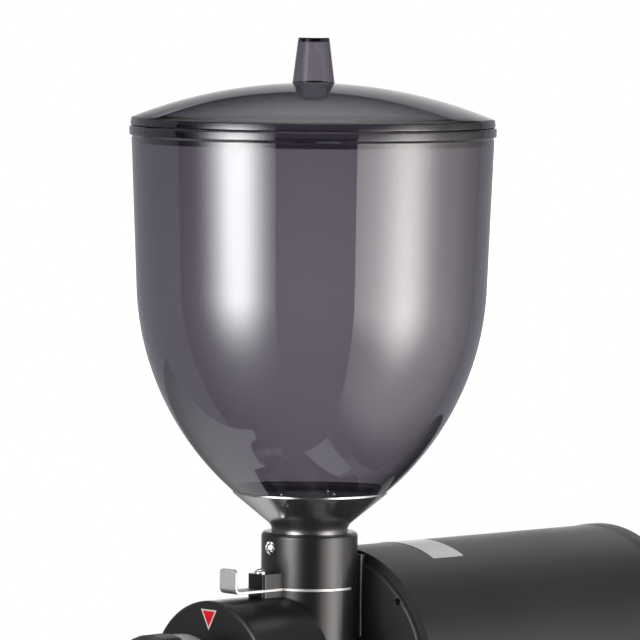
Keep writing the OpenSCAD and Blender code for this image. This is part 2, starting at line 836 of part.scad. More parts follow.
module grinder_housing() {
    spigot_bore = spigot_r + gap;
    color(cast_black) difference() {
        union() {
            drum_form();
            neck_form();
            boss_form();
            axis_bar(chamber_back, shield_front, feed_tube_d / 2);
            flange_form();
            web_form();
            pad_form();
        }
        // Bean path: neck, throat, feed bore and burr chamber
        above(shoulder_h) cylinder(h = neck_h, r = spigot_bore);
        above(0) cylinder(h = neck_h, r = throat_r);
        axis_bar(chamber_back - over, feed_back, feed_r);
        axis_bar(cover_back - over, chamber_back, chamber_r);
        placed() translate([-outlet_w / 2, outlet_y - outlet_l / 2, axis_h - pad_drop - over])
            cube([outlet_w, outlet_l, pad_drop]);
        // The back is flat where it meets the motor
        axis_bar(shield_front, shield_front + flange_t, motor_r);
        // Shaft passage and seal seat
        axis_bar(feed_back - over, seal_y + over, shaft_r + gap);
        axis_bar(seal_y, shield_front + over, seal_r);
        // Gate slot and pivot
        above(slot_low) linear_extrude(slot_h) slot_outline();
        above(boss_h + over) translate([0, -pivot_reach, 0]) rotate([180, 0, 0])
            cylinder(h = boss_h - gate_h + gate_screw_bite + over, r = pivot_r + fit);
        at_hopper_screw(spigot_r) cylinder(h = neck_r, r = hopper_screw_size[0] + fit);
        at_hopper_screw(neck_r - spot_face_t) cylinder(h = neck_r, r = spot_face_r);
        // Screw holes for the cover, the head bolts and the spout
        round_axis(cover_back + cover_screw_l - cover_t + counterbore_t, cover_screw_turns, cover_screw_r)
            cylinder(h = cover_screw_l, r = m4[0] + fit);
        for (x = [-1, 1], z = flange_bolt_z)
            forward(shield_front + over) translate([x * flange_bolt_x, z, 0])
                cylinder(h = flange_t + 2 * over, r = m6[0] + fit);
        for (x = [-1, 1])
            above(-pad_drop - over) translate([x * spout_screw_x, outlet_y, 0])
                cylinder(h = spout_screw_bite + over, r = m4[0] + fit);
    }
}

module front_cover() {
    edge_steps = 5;
    hub_r = dial_hub_d / 2;
    hub_blend = 4;
    hub_edge = 1;
    bush_r = spindle_r + bush_wall;
    color(cast_black) difference() {
        union() {
            forward(cover_back) rotate_extrude() polygon(concat([[0, 0], [drum_r, 0]],
                arc_points(drum_r - drum_edge_r, cover_t - drum_edge_r, drum_edge_r, 0, 90, edge_steps),
                arc_points(hub_r + hub_blend, cover_t + hub_blend, hub_blend, 270, 180, edge_steps),
                [[hub_r, cover_t + dial_hub_l - hub_edge], [hub_r - hub_edge, cover_t + dial_hub_l],
                 [0, cover_t + dial_hub_l]]));
            axis_bar(cover_back, chamber_front, chamber_r - fit);
        }
        axis_bar(dial_hub_front - over, chamber_front + over, bush_r + fit);
        round_axis(cover_back + over, cover_screw_turns, cover_screw_r)
            cylinder(h = cover_t + 2 * over, r = m4[0] + fit);
        round_axis(drum_front + counterbore_t, cover_screw_turns, cover_screw_r)
            cylinder(h = counterbore_t + over, r = m4[1] + fit);
        round_axis(chamber_front + over, dowel_turns, dowel_circle_r)
            cylinder(h = dowel_press + over, r = dowel_r + fit);
    }
}

module cover_screws() {
    color(steel) round_axis(drum_front + counterbore_t, cover_screw_turns, cover_screw_r)
        screw(m4, cover_screw_l - counterbore_t);
}

// The red triangle that the dial is read against
module setting_pointer() {
    rise = 0.6;
    color(signal_red) forward(drum_front) linear_extrude(rise) polygon([[-pointer_w / 2, pointer_top],
        [0, pointer_top - pointer_h], [pointer_w / 2, pointer_top]]);
}

module head_bolts() {
    color(steel) for (x = [-1, 1], z = flange_bolt_z)
        forward(shield_front - flange_t) translate([x * flange_bolt_x, z, 0])
            screw(m6, flange_t + flange_bolt_bite);
}

module shaft_seal() {
    lip_t = 2;
    groove_t = 2.5;
    color(rubber_black) backward(seal_y) rotate_extrude() polygon([[shaft_r + fit, 0], [seal_r - fit, 0],
        [seal_r - fit, seal_t], [shaft_r + lip_t, seal_t], [shaft_r + lip_t, groove_t],
        [shaft_r + fit, groove_t - lip_t / 2]]);
}

// Grind adjustment

module adjust_knob() {
    edge_steps = 6;
    edge_r = 4;
    r = knob_d / 2;
    dish_r = r - 12;
    foot_edge = 1;
    flute_r = 3;
    flute_sink = 0.8;
    color(plastic_black) difference() {
        forward(ring_front) rotate_extrude() polygon(concat(
            [[nose_r + fit, 0], [r - foot_edge, 0], [r, foot_edge]],
            arc_points(r - edge_r, knob_l - edge_r, edge_r, 0, 90, edge_steps),
            [[dish_r + knob_dish_t, knob_l], [dish_r, knob_l - knob_dish_t],
             [nose_r + fit, knob_l - knob_dish_t]]));
        for (i = [0 : knob_flutes - 1])
            forward(ring_front + over) rotate([0, 0, (i + 0.5) * 360 / knob_flutes])
                translate([r + flute_r - flute_sink, 0, 0]) cylinder(h = knob_l + 2 * over, r = flute_r);
    }
}

module dial_ring() {
    edge = 0.6;
    r = ring_d / 2;
    color(alloy) forward(ring_back) rotate_extrude() polygon([[nose_r + fit, 0], [r - edge, 0], [r, edge],
        [r, ring_l - edge], [r - edge, ring_l], [nose_r + fit, ring_l]]);
}

module knob_screw() {
    color(bright) forward(knob_front + knob_dish_t) screw(knob_screw_size, knob_screw_l);
}

module adjust_spindle() {
    thread_end = carrier_back + 2;
    color(steel) difference() {
        union() {
            axis_bar(knob_front + knob_dish_t, ring_back, nose_r);
            axis_bar(ring_back, collar_front, spindle_r);
            axis_bar(collar_front, collar_back, collar_d / 2);
            axis_bar(collar_back, thread_end, thread_r);
        }
        axis_bar(knob_front, knob_front + knob_dish_t + knob_screw_l + over, knob_screw_size[0] + fit);
    }
}

module spindle_bush() {
    color(bronze) backward(dial_hub_front) difference() {
        cylinder(h = chamber_front - dial_hub_front, r = spindle_r + bush_wall);
        translate([0, 0, -over])
            cylinder(h = chamber_front - dial_hub_front + 2 * over, r = spindle_r + fit);
    }
}

module guide_dowels() {
    color(steel) round_axis(dowel_end, dowel_turns, dowel_circle_r)
        cylinder(h = dowel_end - chamber_front + dowel_press, r = dowel_r);
}

// Burrs

module burr_carrier() {
    r = chamber_r - 2;
    hub_r = thread_r + 5;
    hub_l = 2;
    color(iron) difference() {
        union() {
            axis_bar(carrier_front, carrier_back, r);
            axis_bar(carrier_front, carrier_back + hub_l, hub_r);
        }
        axis_bar(carrier_front - over, carrier_back + hub_l + over, thread_r + fit);
        round_axis(carrier_back + over, dowel_turns, dowel_circle_r)
            cylinder(h = carrier_t + 2 * over, r = dowel_r + fit);
        round_axis(carrier_back + over, burr_screw_turns, burr_screw_r)
            cylinder(h = burr_screw_bite + over, r = m4[0] + fit);
    }
}

// A square bar along +X, lying on its edge, that cuts a V groove
module v_groove(l, side) rotate([45, 0, 0]) translate([0, -side / 2, -side / 2]) cube([l, side, side]);

// A flat burr with its teeth up: a breaker cone inside and a fine land outside
module burr() {
    land_r = burr_bore_r + (burr_r - burr_bore_r) * 0.45;
    cone_t = 3.5;
    fine = 2.2;
    coarse = 4;
    skew = 7;
    rise = 4;
    difference() {
        rotate_extrude() polygon([[burr_bore_r, 0], [burr_r, 0], [burr_r, burr_t], [land_r, burr_t],
            [burr_bore_r, burr_t - cone_t]]);
        for (i = [0 : burr_teeth - 1])
            rotate([0, 0, (i + 0.5) * 360 / burr_teeth]) translate([land_r - 2, skew, burr_t])
                rotate([0, -rise, 0]) v_groove(burr_r, fine);
        for (i = [0 : breaker_teeth - 1])
            rotate([0, 0, i * 360 / breaker_teeth]) translate([0, skew, burr_t - cone_t / 2])
                v_groove(land_r, coarse);
        for (t = burr_screw_turns)
            rotate([0, 0, t]) translate([burr_screw_r, 0, burr_t - burr_screw_sink])
                flat_screw_hole(m4, burr_t);
    }
}

module fixed_burr() color(steel) backward(carrier_back) burr();

module rotating_burr() color(steel) forward(burr_back) burr();

module burr_screws_form() {
    for (t = burr_screw_turns)
        rotate([0, 0, t]) translate([burr_screw_r, 0, burr_t - burr_screw_sink])
            flat_screw(m4, burr_t - burr_screw_sink + burr_screw_bite - 0.5);
}

module fixed_burr_screws() color(iron) backward(carrier_back) burr_screws_form();

module rotating_burr_screws() color(iron) forward(burr_back) burr_screws_form();

module burr_hub() {
    rim_r = chamber_r - 2.5;
    boss = shaft_r + 4.5;
    spoke_w = 8;
    sweeper_w = 6;
    sweeper_l = 9;
    color(iron) difference() {
        union() {
            difference() {
                axis_bar(burr_back, hub_back, rim_r);
                axis_bar(burr_back - over, hub_back + over, burr_bore_r);
            }
            axis_bar(burr_back - hub_boss_l, hub_back, boss);
            round_axis(hub_back, [30, 150, 270], 0)
                translate([shaft_r + 2, -spoke_w / 2, 0]) cube([burr_bore_r - shaft_r, spoke_w, hub_t]);
            round_axis(hub_back, [90, 210, 330], 0)
                translate([burr_r + gap, -sweeper_w / 2, 0])
                    cube([chamber_r - burr_r - 3 * gap, sweeper_w, sweeper_l]);
        }
        axis_bar(burr_back - hub_boss_l - over, hub_back + over, shaft_r + fit);
        round_axis(hub_back + over, burr_screw_turns, burr_screw_r)
            cylinder(h = hub_t + 2 * over, r = m4[0] + fit);
    }
}

module shaft_nut() {
    across = 12;
    color(steel) forward(burr_back - hub_boss_l) difference() {
        cylinder(h = shaft_nut_t, r = across, $fn = 6);
        translate([0, 0, -over]) cylinder(h = shaft_nut_t + 2 * over, r = shaft_r + fit);
    }
}

// Feed screw: a twisted sector round a straight core
module feed_auger() {
    auger_fn = 24;
    slices = 36;
    flight_turn = 44;
    flight_r = feed_r - 2 * gap;
    long = feed_back - 2 - hub_back;
    bore_r = (shaft_r + fit) / cos(180 / auger_fn);
    color(steel) backward(hub_back)
        linear_extrude(long, twist = -360 * long / auger_pitch, slices = slices, $fn = auger_fn)
            difference() {
                union() {
                    circle(d = auger_core_d, $fn = auger_fn);
                    polygon(concat([[0, 0]], arc_points(0, 0, flight_r, 0, flight_turn, 5)));
                }
                circle(r = bore_r, $fn = auger_fn);
            }
}

// Motor

module motor_tube() {
    color(satin_black) difference() {
        axis_bar(motor_reach, tube_back, motor_r);
        axis_bar(motor_reach - over, tube_back + over, tube_bore_r);
        at_motor_bolts(tube_bore_r - over) cylinder(h = tube_wall + 2 * over, r = m6[0] + fit);
    }
}

// Places a thing on each motor bolt's axis, pointing away from the motor
module at_motor_bolts(r) {
    for (sx = [-1, 1], sy = [-1, 1])
        forward(column_mid + sy * motor_bolt_y) rotate([0, 0, 270 + sx * motor_bolt_turn])
            translate([r, 0, 0]) rotate([0, 90, 0]) children();
}

module front_shield() {
    face_r = shield_face_d / 2;
    face_edge = 2.2;
    edge_steps = 5;
    boss_back = front_bearing_y + bearing_w + bearing_boss_over;
    color(satin_black) difference() {
        union() {
            axis_bar(motor_reach, shield_back, shield_r);
            forward(motor_reach) rotate_extrude() polygon(concat([[0, 0], [face_r, 0]],
                arc_points(face_r - face_edge, shield_rise - face_edge, face_edge, 0, 90, edge_steps),
                [[0, shield_rise]]));
            axis_bar(shield_back, boss_back, bearing_boss_r);
        }
        axis_bar(shield_front - over, boss_back, shaft_r + gap);
        axis_bar(front_bearing_y, boss_back + over, bearing_r + fit);
        round_axis(shield_back + over, rod_turns, rod_circle_r)
            cylinder(h = shield_t + 2 * over, r = rod_r + fit);
        for (x = [-1, 1], z = flange_bolt_z)
            forward(shield_front + flange_bolt_bite + over) translate([x * flange_bolt_x, z, 0])
                cylinder(h = flange_bolt_bite + 2 * over, r = m6[0] + fit);
    }
}

module rear_shield() {
    boss_front = rear_bearing_y - bearing_boss_over;
    post_back = cap_back - cap_wall;
    color(alloy) difference() {
        union() {
            axis_bar(rear_shield_reach, rear_shield_back, shield_r);
            axis_bar(boss_front, rear_shield_reach, bearing_boss_r);
            round_axis(post_back, cap_post_turns, cap_post_circle_r)
                cylinder(h = post_back - rear_shield_back, r = cap_post_r);
        }
        axis_bar(boss_front, rear_shield_back + over, shaft_r + gap);
        axis_bar(boss_front - over, rear_bearing_y + bearing_w, bearing_r + fit);
        round_axis(rear_shield_back + over, rod_turns, rod_circle_r)
            cylinder(h = rear_shield_t + 2 * over, r = rod_r + fit);
        round_axis(post_back + over, cap_post_turns, cap_post_circle_r)
            cylinder(h = cap_screw_l + over, r = m4[0] + fit);
    }
}

// Cap over the fan: a turned shell with a spigot in the tube and a ring of cooling slots
module rear_cap() {
    edge_r = 2.5;
    inner_edge_r = 1;
    edge_steps = 6;
    spigot_l = 8;
    flare_l = 5;
    slot_in_r = 20;
    slot_out_r = cap_post_circle_r - cap_post_r - 3;
    slot_w = 3.6;
    bore_r = shield_r - cap_wall;
    floor_l = cap_l - cap_wall;
    color(satin_black) difference() {
        backward(tube_back) rotate_extrude() polygon(concat([[0, floor_l]],
            arc_points(bore_r - inner_edge_r, floor_l - inner_edge_r, inner_edge_r, 90, 0, edge_steps),
            [[bore_r, -spigot_l], [shield_r, -spigot_l], [shield_r, 0], [motor_r, 0], [cap_r, flare_l]],
            arc_points(cap_r - edge_r, cap_l - edge_r, edge_r, 0, 90, edge_steps), [[0, cap_l]]));
        for (i = [0 : cap_slots - 1])
            backward(cap_back - cap_wall - over) rotate([0, 0, (i + 0.5) * 360 / cap_slots])
                translate([slot_in_r, -slot_w / 2, 0])
                    cube([slot_out_r - slot_in_r, slot_w, cap_wall + 2 * over]);
        round_axis(cap_back + over, cap_post_turns, cap_post_circle_r)
            cylinder(h = cap_wall + 2 * over, r = m4[0] + fit);
    }
}

module cap_screws() {
    color(steel) for (t = cap_post_turns)
        backward(cap_back) rotate([0, 0, t]) translate([cap_post_circle_r, 0, 0])
            screw([m4[0], m4[1], cap_screw_head], cap_wall + cap_screw_l - over);
}

module tie_rods() {
    nut_t = 3.2;
    nut_r = rod_d;
    color(steel) round_axis(rear_shield_back + nut_t, rod_turns, rod_circle_r) {
        cylinder(h = rear_shield_back + nut_t - shield_front - rod_recess, r = rod_r);
        cylinder(h = nut_t, r = nut_r, $fn = 6);
    }
}

module stator_core() {
    color(iron) difference() {
        axis_bar(stator_front, stator_back, shield_r);
        axis_bar(stator_front - over, stator_back + over, rotor_r + air_gap);
        round_axis(stator_back + over, rod_turns, rod_circle_r)
            cylinder(h = stator_l + 2 * over, r = rod_r + gap);
    }
}

module windings() {
    in_r = rotor_r + 5;
    out_r = rod_circle_r - rod_r - 1.5;
    round_r = 6;
    color(copper) for (y = [stator_front - winding_l, stator_back])
        backward(y) rotate_extrude() translate([(in_r + out_r) / 2, winding_l / 2])
            rounded_rect(out_r - in_r, winding_l, round_r);
}

module rotor_core() {
    end_ring = 6;
    end_in_r = rotor_r * 0.66;
    color(iron) difference() {
        union() {
            axis_bar(stator_front, stator_back, rotor_r);
            axis_bar(stator_front - end_ring, stator_back + end_ring, rotor_r - 2);
        }
        axis_bar(stator_front - end_ring - over, stator_front, end_in_r);
        axis_bar(stator_back, stator_back + end_ring + over, end_in_r);
        axis_bar(stator_front - over, stator_back + over, rotor_seat_r + fit);
    }
}

module motor_shaft() {
    nose = 1.5;
    front = burr_back - hub_boss_l - shaft_nut_t - nose;
    back = fan_front + fan_l + 4;
    color(steel) {
        axis_bar(front, back, shaft_r);
        axis_bar(stator_front - 4, stator_back + 4, rotor_seat_r);
    }
}

// A ball bearing growing back from a station
module bearing(y) {
    balls = 8;
    race = (bearing_r - shaft_r) * 0.32;
    ball_circle_r = (bearing_r + shaft_r) / 2;
    ball_r = (bearing_r - shaft_r) / 2 - race + 0.6;
    groove_r = ball_r + fit;
    color(steel) backward(y) {
        difference() {
            union() {
                difference() {
                    cylinder(h = bearing_w, r = bearing_r);
                    translate([0, 0, -over]) cylinder(h = bearing_w + 2 * over, r = bearing_r - race);
                }
                difference() {
                    cylinder(h = bearing_w, r = shaft_r + race);
                    translate([0, 0, -over]) cylinder(h = bearing_w + 2 * over, r = shaft_r + fit);
                }
            }
            translate([0, 0, bearing_w / 2])
                rotate_extrude() translate([ball_circle_r, 0]) circle(r = groove_r);
        }
        for (i = [0 : balls - 1])
            rotate([0, 0, i * 360 / balls]) translate([ball_circle_r, 0, bearing_w / 2]) sphere(r = ball_r);
    }
}

module front_bearing() bearing(front_bearing_y);

module rear_bearing() bearing(rear_bearing_y);

module cooling_fan() {
    blades = 9;
    blade_t = 2;
    disc_t = 2;
    hub_r = shaft_r + 6;
    r = cap_post_circle_r - cap_post_r - fan_post_gap;
    color(pale) backward(fan_front) difference() {
        union() {
            cylinder(h = disc_t, r = r);
            cylinder(h = fan_l, r = hub_r);
            for (i = [0 : blades - 1])
                rotate([0, 0, i * 360 / blades]) translate([hub_r - 1, -blade_t / 2, 0])
                    cube([r - hub_r, blade_t, fan_l]);
        }
        translate([0, 0, -over]) cylinder(h = fan_l + 2 * over, r = shaft_r + fit);
    }
}

// Stand

// A loft between two rounded rectangles of one width
module loft(w, foot_l, head_l, h, corner) {
    hull() {
        linear_extrude(slab) rounded_rect(w, foot_l, corner, $fn = loft_fn);
        translate([0, 0, h - slab]) linear_extrude(slab) rounded_rect(w, head_l, corner, $fn = loft_fn);
    }
}

module column() {
    inner_w = column_w - 2 * column_wall;
    inner_corner = column_corner_r - column_wall;
    color(cast_black) difference() {
        union() {
            difference() {
                placed() translate([0, column_mid, deck_h])
                    loft(column_w, column_foot_l, column_head_l, column_h, column_corner_r);
                difference() {
                    placed() translate([0, column_mid, deck_h - slab])
                        loft(inner_w, column_foot_l - 2 * column_wall, column_head_l - 2 * column_wall,
                            column_h, inner_corner);
                    axis_bar(column_mid - base_l, column_mid + base_l, motor_r + saddle_t);
                }
            }
            for (sx = [-1, 1], sy = [-1, 1])
                placed() translate([sx * column_bolt_x, column_mid + sy * column_bolt_y, deck_h])
                    cylinder(h = column_boss_h, r = boss_r);
        }
        axis_bar(column_mid - base_l, column_mid + base_l, motor_r);
        at_motor_bolts(motor_r - over) cylinder(h = saddle_t + 2 * over, r = m6[0] + fit);
        for (sx = [-1, 1], sy = [-1, 1])
            placed() translate([sx * column_bolt_x, column_mid + sy * column_bolt_y, deck_h - over])
                cylinder(h = column_bolt_bite + over, r = m6[0] + fit);
        placed() translate([column_w / 2 - column_wall - over, switch_reach - switch_w / 2 - fit,
            switch_h - switch_l / 2 - fit])
            cube([column_wall + 2 * over, switch_w + 2 * fit, switch_l + 2 * fit]);
    }
}

module motor_bolts() {
    color(steel) at_motor_bolts(motor_r + saddle_t) screw(m6, saddle_t + tube_wall - gap);
}

module column_bolts() {
    color(steel) for (sx = [-1, 1], sy = [-1, 1])
        placed() translate([sx * column_bolt_x, column_mid + sy * column_bolt_y, deck_h - deck_t])
            rotate([180, 0, 0]) screw(m6, deck_t + column_bolt_bite - over);
}

// Copies a thing at the four feet
module at_feet(h) {
    for (sx = [-1, 1], sy = [-1, 1])
        placed() translate([sx * foot_x, base_mid + sy * foot_y, h]) children();
}

module base() {
    cavity_h = base_h - deck_t;
    edge_steps = 4;
    wire_hole_r = 12;
    color(cast_black) difference() {
        union() {
            difference() {
                placed() translate([0, base_mid, foot_h]) hull()
                    for (sx = [-1, 1], sy = [-1, 1])
                        translate([sx * (base_w / 2 - base_corner_r), sy * (base_l / 2 - base_corner_r), 0])
                            rotate_extrude($fn = loft_fn) polygon(concat([[0, 0], [base_corner_r, 0]],
                                arc_points(base_corner_r - base_edge_r, base_h - base_edge_r, base_edge_r,
                                    0, 90, edge_steps), [[0, base_h]]));
                placed() translate([0, base_mid, foot_h - over]) linear_extrude(cavity_h + over)
                    rounded_rect(base_w - 2 * base_wall, base_l - 2 * base_wall, base_corner_r - base_wall);
            }
            at_feet(foot_h + plate_t) cylinder(h = cavity_h - plate_t + over, r = foot_boss_r);
        }
        at_feet(foot_h) cylinder(h = plate_t + foot_screw_bite, r = m5[0] + fit);
        for (sx = [-1, 1], sy = [-1, 1])
            placed() translate([sx * column_bolt_x, column_mid + sy * column_bolt_y, deck_h - deck_t - over])
                cylinder(h = deck_t + 2 * over, r = m6[0] + fit);
        placed() translate([0, column_mid, deck_h - deck_t - over])
            cylinder(h = deck_t + 2 * over, r = wire_hole_r);
        at_gland(-base_wall - over) cylinder(h = base_wall + 2 * over, r = gland_thread_r + fit);
    }
}

module bottom_plate() {
    inset = base_wall + gap;
    color(steel) difference() {
        placed() translate([0, base_mid, foot_h]) linear_extrude(plate_t)
            rounded_rect(base_w - 2 * inset, base_l - 2 * inset, base_corner_r - inset);
        at_feet(foot_h - over) cylinder(h = plate_t + 2 * over, r = m5[0] + fit);
    }
}

module feet() {
    edge = 1.5;
    recess_r = m5[1] + 1;
    bore_r = m5[0] + fit;
    color(rubber_black) at_feet(0) rotate_extrude() polygon([[recess_r, 0], [foot_r - edge, 0],
        [foot_r, edge], [foot_r - 1, foot_h], [bore_r, foot_h], [bore_r, foot_recess],
        [recess_r, foot_recess]]);
}

module foot_screws() {
    color(steel) at_feet(foot_recess) rotate([180, 0, 0])
        screw(m5, foot_h - foot_recess + plate_t + foot_screw_bite - over);
}

// Electrics

module at_switch(x) placed() translate([x, switch_reach, switch_h]) children();

module switch_body() {
    well_t = 9;
    color(plastic_black) difference() {
        union() {
            at_switch(column_w / 2) rotate([0, 90, 0]) linear_extrude(bezel_t)
                rounded_rect(switch_bezel_h, switch_bezel_w, 2);
            at_switch(column_w / 2 - switch_t / 2) cube([switch_t, switch_w, switch_l], center = true);
        }
        at_switch(column_w / 2 + bezel_t - well_t / 2 + over / 2)
            cube([well_t + over, rocker_w + 2 * gap, rocker_l + 4 * gap], center = true);
        at_switch(rocker_x) rotate([90, 0, 0])
            cylinder(h = switch_w - 1.2, r = rocker_pin_r + fit, center = true);
    }
}

module switch_rocker() {
    face = 3;
    hollow = 1.4;
    back = 3.4;
    half = rocker_l / 2;
    pin_l = rocker_w + 2.2;
    color(plastic_black) at_switch(rocker_x) rotate([0, rocker_swing / 2, 0]) {
        rotate([90, 0, 0]) linear_extrude(rocker_w, center = true)
            polygon([[-back, -half * 0.6], [-1, -half], [face, -half], [face - hollow, 0], [face, half],
                [-1, half], [-back, half * 0.6]]);
        rotate([90, 0, 0]) cylinder(h = pin_l, r = rocker_pin_r, center = true);
    }
}

module run_capacitor() {
    can_r = 20;
    can_h = 70;
    lid_t = 3;
    tag = [6, 0.8, 9];
    tag_x = 7;
    place = [-14, 20];
    color(pale) placed() translate([place[0], column_mid + place[1], deck_h]) {
        cylinder(h = can_h, r = can_r);
        translate([0, 0, can_h]) cylinder(h = lid_t, r = can_r - 1.5);
        for (s = [-1, 1])
            translate([s * tag_x - tag[0] / 2, -tag[1] / 2, can_h]) cube([tag[0], tag[1], tag[2] + lid_t]);
    }
}

module terminal_block() {
    ways = 4;
    pitch = 10;
    depth = 18;
    tall = 15;
    screw_r = 2.6;
    place = [8, -34];
    color(pale) placed() translate([place[0], column_mid + place[1], deck_h]) difference() {
        translate([-ways * pitch / 2, -depth / 2, 0]) cube([ways * pitch, depth, tall]);
        for (i = [0 : ways - 1], s = [-1, 1])
            translate([(i - (ways - 1) / 2) * pitch, s * depth / 4, tall / 2])
                cylinder(h = tall, r = screw_r);
        for (i = [0 : ways - 1])
            translate([(i - (ways - 1) / 2) * pitch, 0, tall * 0.3])
                rotate([90, 0, 0]) cylinder(h = depth + 2 * over, r = screw_r * 0.8, center = true);
    }
}

module at_gland(y) placed() translate([gland_x, base_back + y, gland_h]) rotate([-90, 0, 0]) children();

module cord_gland() {
    hex_r = 10;
    hex_t = 5;
    dome_r = 8.6;
    dome_t = 14;
    mouth_r = 5.5;
    nut_t = 4;
    color(plastic_black) difference() {
        union() {
            at_gland(-base_wall - nut_t - 1) cylinder(h = base_wall + nut_t + 1 + over, r = gland_thread_r);
            at_gland(-base_wall - nut_t) cylinder(h = nut_t, r = hex_r, $fn = 6);
            at_gland(0) cylinder(h = hex_t, r = hex_r, $fn = 6);
            at_gland(hex_t) cylinder(h = dome_t, r1 = dome_r, r2 = mouth_r + 1);
        }
        at_gland(-base_wall - nut_t - 2 * over)
            cylinder(h = base_wall + nut_t + hex_t + dome_t + 4 * over, r = gland_bore_r);
    }
}

// Outlet

// The chute between the drum's outlet and the round end
module chute(w, l, r, corner) {
    hull() {
        above(spout_taper_top - slab) translate([0, outlet_y, 0]) linear_extrude(slab)
            rounded_rect(w, l, corner, $fn = loft_fn);
        above(spout_taper_low) translate([0, outlet_y, 0]) cylinder(h = slab, r = r, $fn = 2 * loft_fn);
    }
}

module spout() {
    corner = 5;
    color(cast_black) difference() {
        union() {
            above(spout_taper_top) translate([0, outlet_y, 0]) linear_extrude(spout_flange_t)
                rounded_rect(pad_w, pad_l, corner + 2);
            chute(outlet_w + 2 * spout_wall, outlet_l + 2 * spout_wall, spout_r, corner);
            above(spout_low) translate([0, outlet_y, 0]) cylinder(h = spout_end_l, r = spout_r);
            for (s = [-1, 1])
                above(clamp_h) translate([s * (clamp_w / 2 + gap + ear_t / 2), 0, 0]) rotate([90, 0, 90])
                    linear_extrude(ear_t, center = true) {
                        translate([clamp_y, 0]) circle(r = barrel_r);
                        translate([clamp_y, -barrel_r]) square([outlet_y - clamp_y, 2 * barrel_r]);
                    }
        }
        above(spout_taper_top - over) translate([0, outlet_y, 0]) linear_extrude(spout_flange_t + 2 * over)
            rounded_rect(outlet_w, outlet_l, corner - spout_wall);
        chute(outlet_w, outlet_l, spout_bore_r, corner - spout_wall);
        above(spout_low - over) translate([0, outlet_y, 0])
            cylinder(h = spout_end_l + over + slab, r = spout_bore_r);
        above(clamp_h) translate([0, clamp_y, 0]) rotate([0, 90, 0])
            cylinder(h = pad_w, r = clamp_pin_r + fit, center = true);
        for (s = [-1, 1])
            above(spout_taper_top - over) translate([s * spout_screw_x, outlet_y, 0])
                cylinder(h = spout_flange_t + 2 * over, r = m4[0] + fit);
    }
}

module spout_screws() {
    color(steel) for (s = [-1, 1])
        above(spout_taper_top) translate([s * spout_screw_x, outlet_y, 0]) rotate([180, 0, 0])
            screw(m4, spout_flange_t + spout_screw_bite - over);
}

module clamp_lever() {
    color(bright) above(clamp_h) rotate([90, 0, 90]) linear_extrude(clamp_w, center = true) difference() {
        union() {
            translate([clamp_y, 0]) circle(r = barrel_r);
            translate([arm_back - lever_t, -clamp_arm_l]) square([lever_t, clamp_arm_l]);
            translate([clamp_y, 0]) rotate([0, 0, thumb_lean])
                translate([-lever_t / 2, barrel_r - 1]) square([lever_t, thumb_l]);
        }
        translate([clamp_y, 0]) circle(r = clamp_pin_r + fit);
    }
}

module clamp_pin() {
    pin_l = clamp_w + 2 * (gap + ear_t) + 1;
    color(steel) above(clamp_h) translate([0, clamp_y, 0]) rotate([0, 90, 0])
        cylinder(h = pin_l, r = clamp_pin_r, center = true);
}

module clamp_pad() {
    pad_h = 9;
    color(rubber_black) above(clamp_h - clamp_arm_l) translate([0, arm_back, 0])
        translate([-clamp_w / 2, 0, 0]) cube([clamp_w, clamp_pad_t, pad_h]);
}

hopper_lid();
hopper_bowl();
hopper_funnel();
hopper_screw();
gate_plate();
gate_screw();
grinder_housing();
front_cover();
cover_screws();
setting_pointer();
head_bolts();
shaft_seal();
adjust_knob();
dial_ring();
knob_screw();
adjust_spindle();
spindle_bush();
guide_dowels();
burr_carrier();
fixed_burr();
fixed_burr_screws();
rotating_burr();
rotating_burr_screws();
burr_hub();
shaft_nut();
feed_auger();
motor_tube();
front_shield();
rear_shield();
rear_cap();
cap_screws();
tie_rods();
stator_core();
windings();
rotor_core();
motor_shaft();
front_bearing();
rear_bearing();
cooling_fan();
column();
motor_bolts();
column_bolts();
base();
bottom_plate();
feet();
foot_screws();
switch_body();
switch_rocker();
run_capacitor();
terminal_block();
cord_gland();
spout();
spout_screws();
clamp_lever();
clamp_pin();
clamp_pad();
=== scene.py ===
# %% [markdown]
# # Dressing an electric shop coffee grinder
#
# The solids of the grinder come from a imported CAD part, and this script gives them their looks:
# a camera, a small studio, finishes for every piece, and the few forms that are better made here
# than in CAD. Everything is in metres, in the frame of the part: +Z is up, the front with the
# grind dial faces -Y, and the counter is at z = 0. Places could be typed in, but they are measured
# on the CAD nodes, so that a piece goes where the CAD says.

import json
import math

import bmesh
import bpy
from mathutils import Matrix, Vector

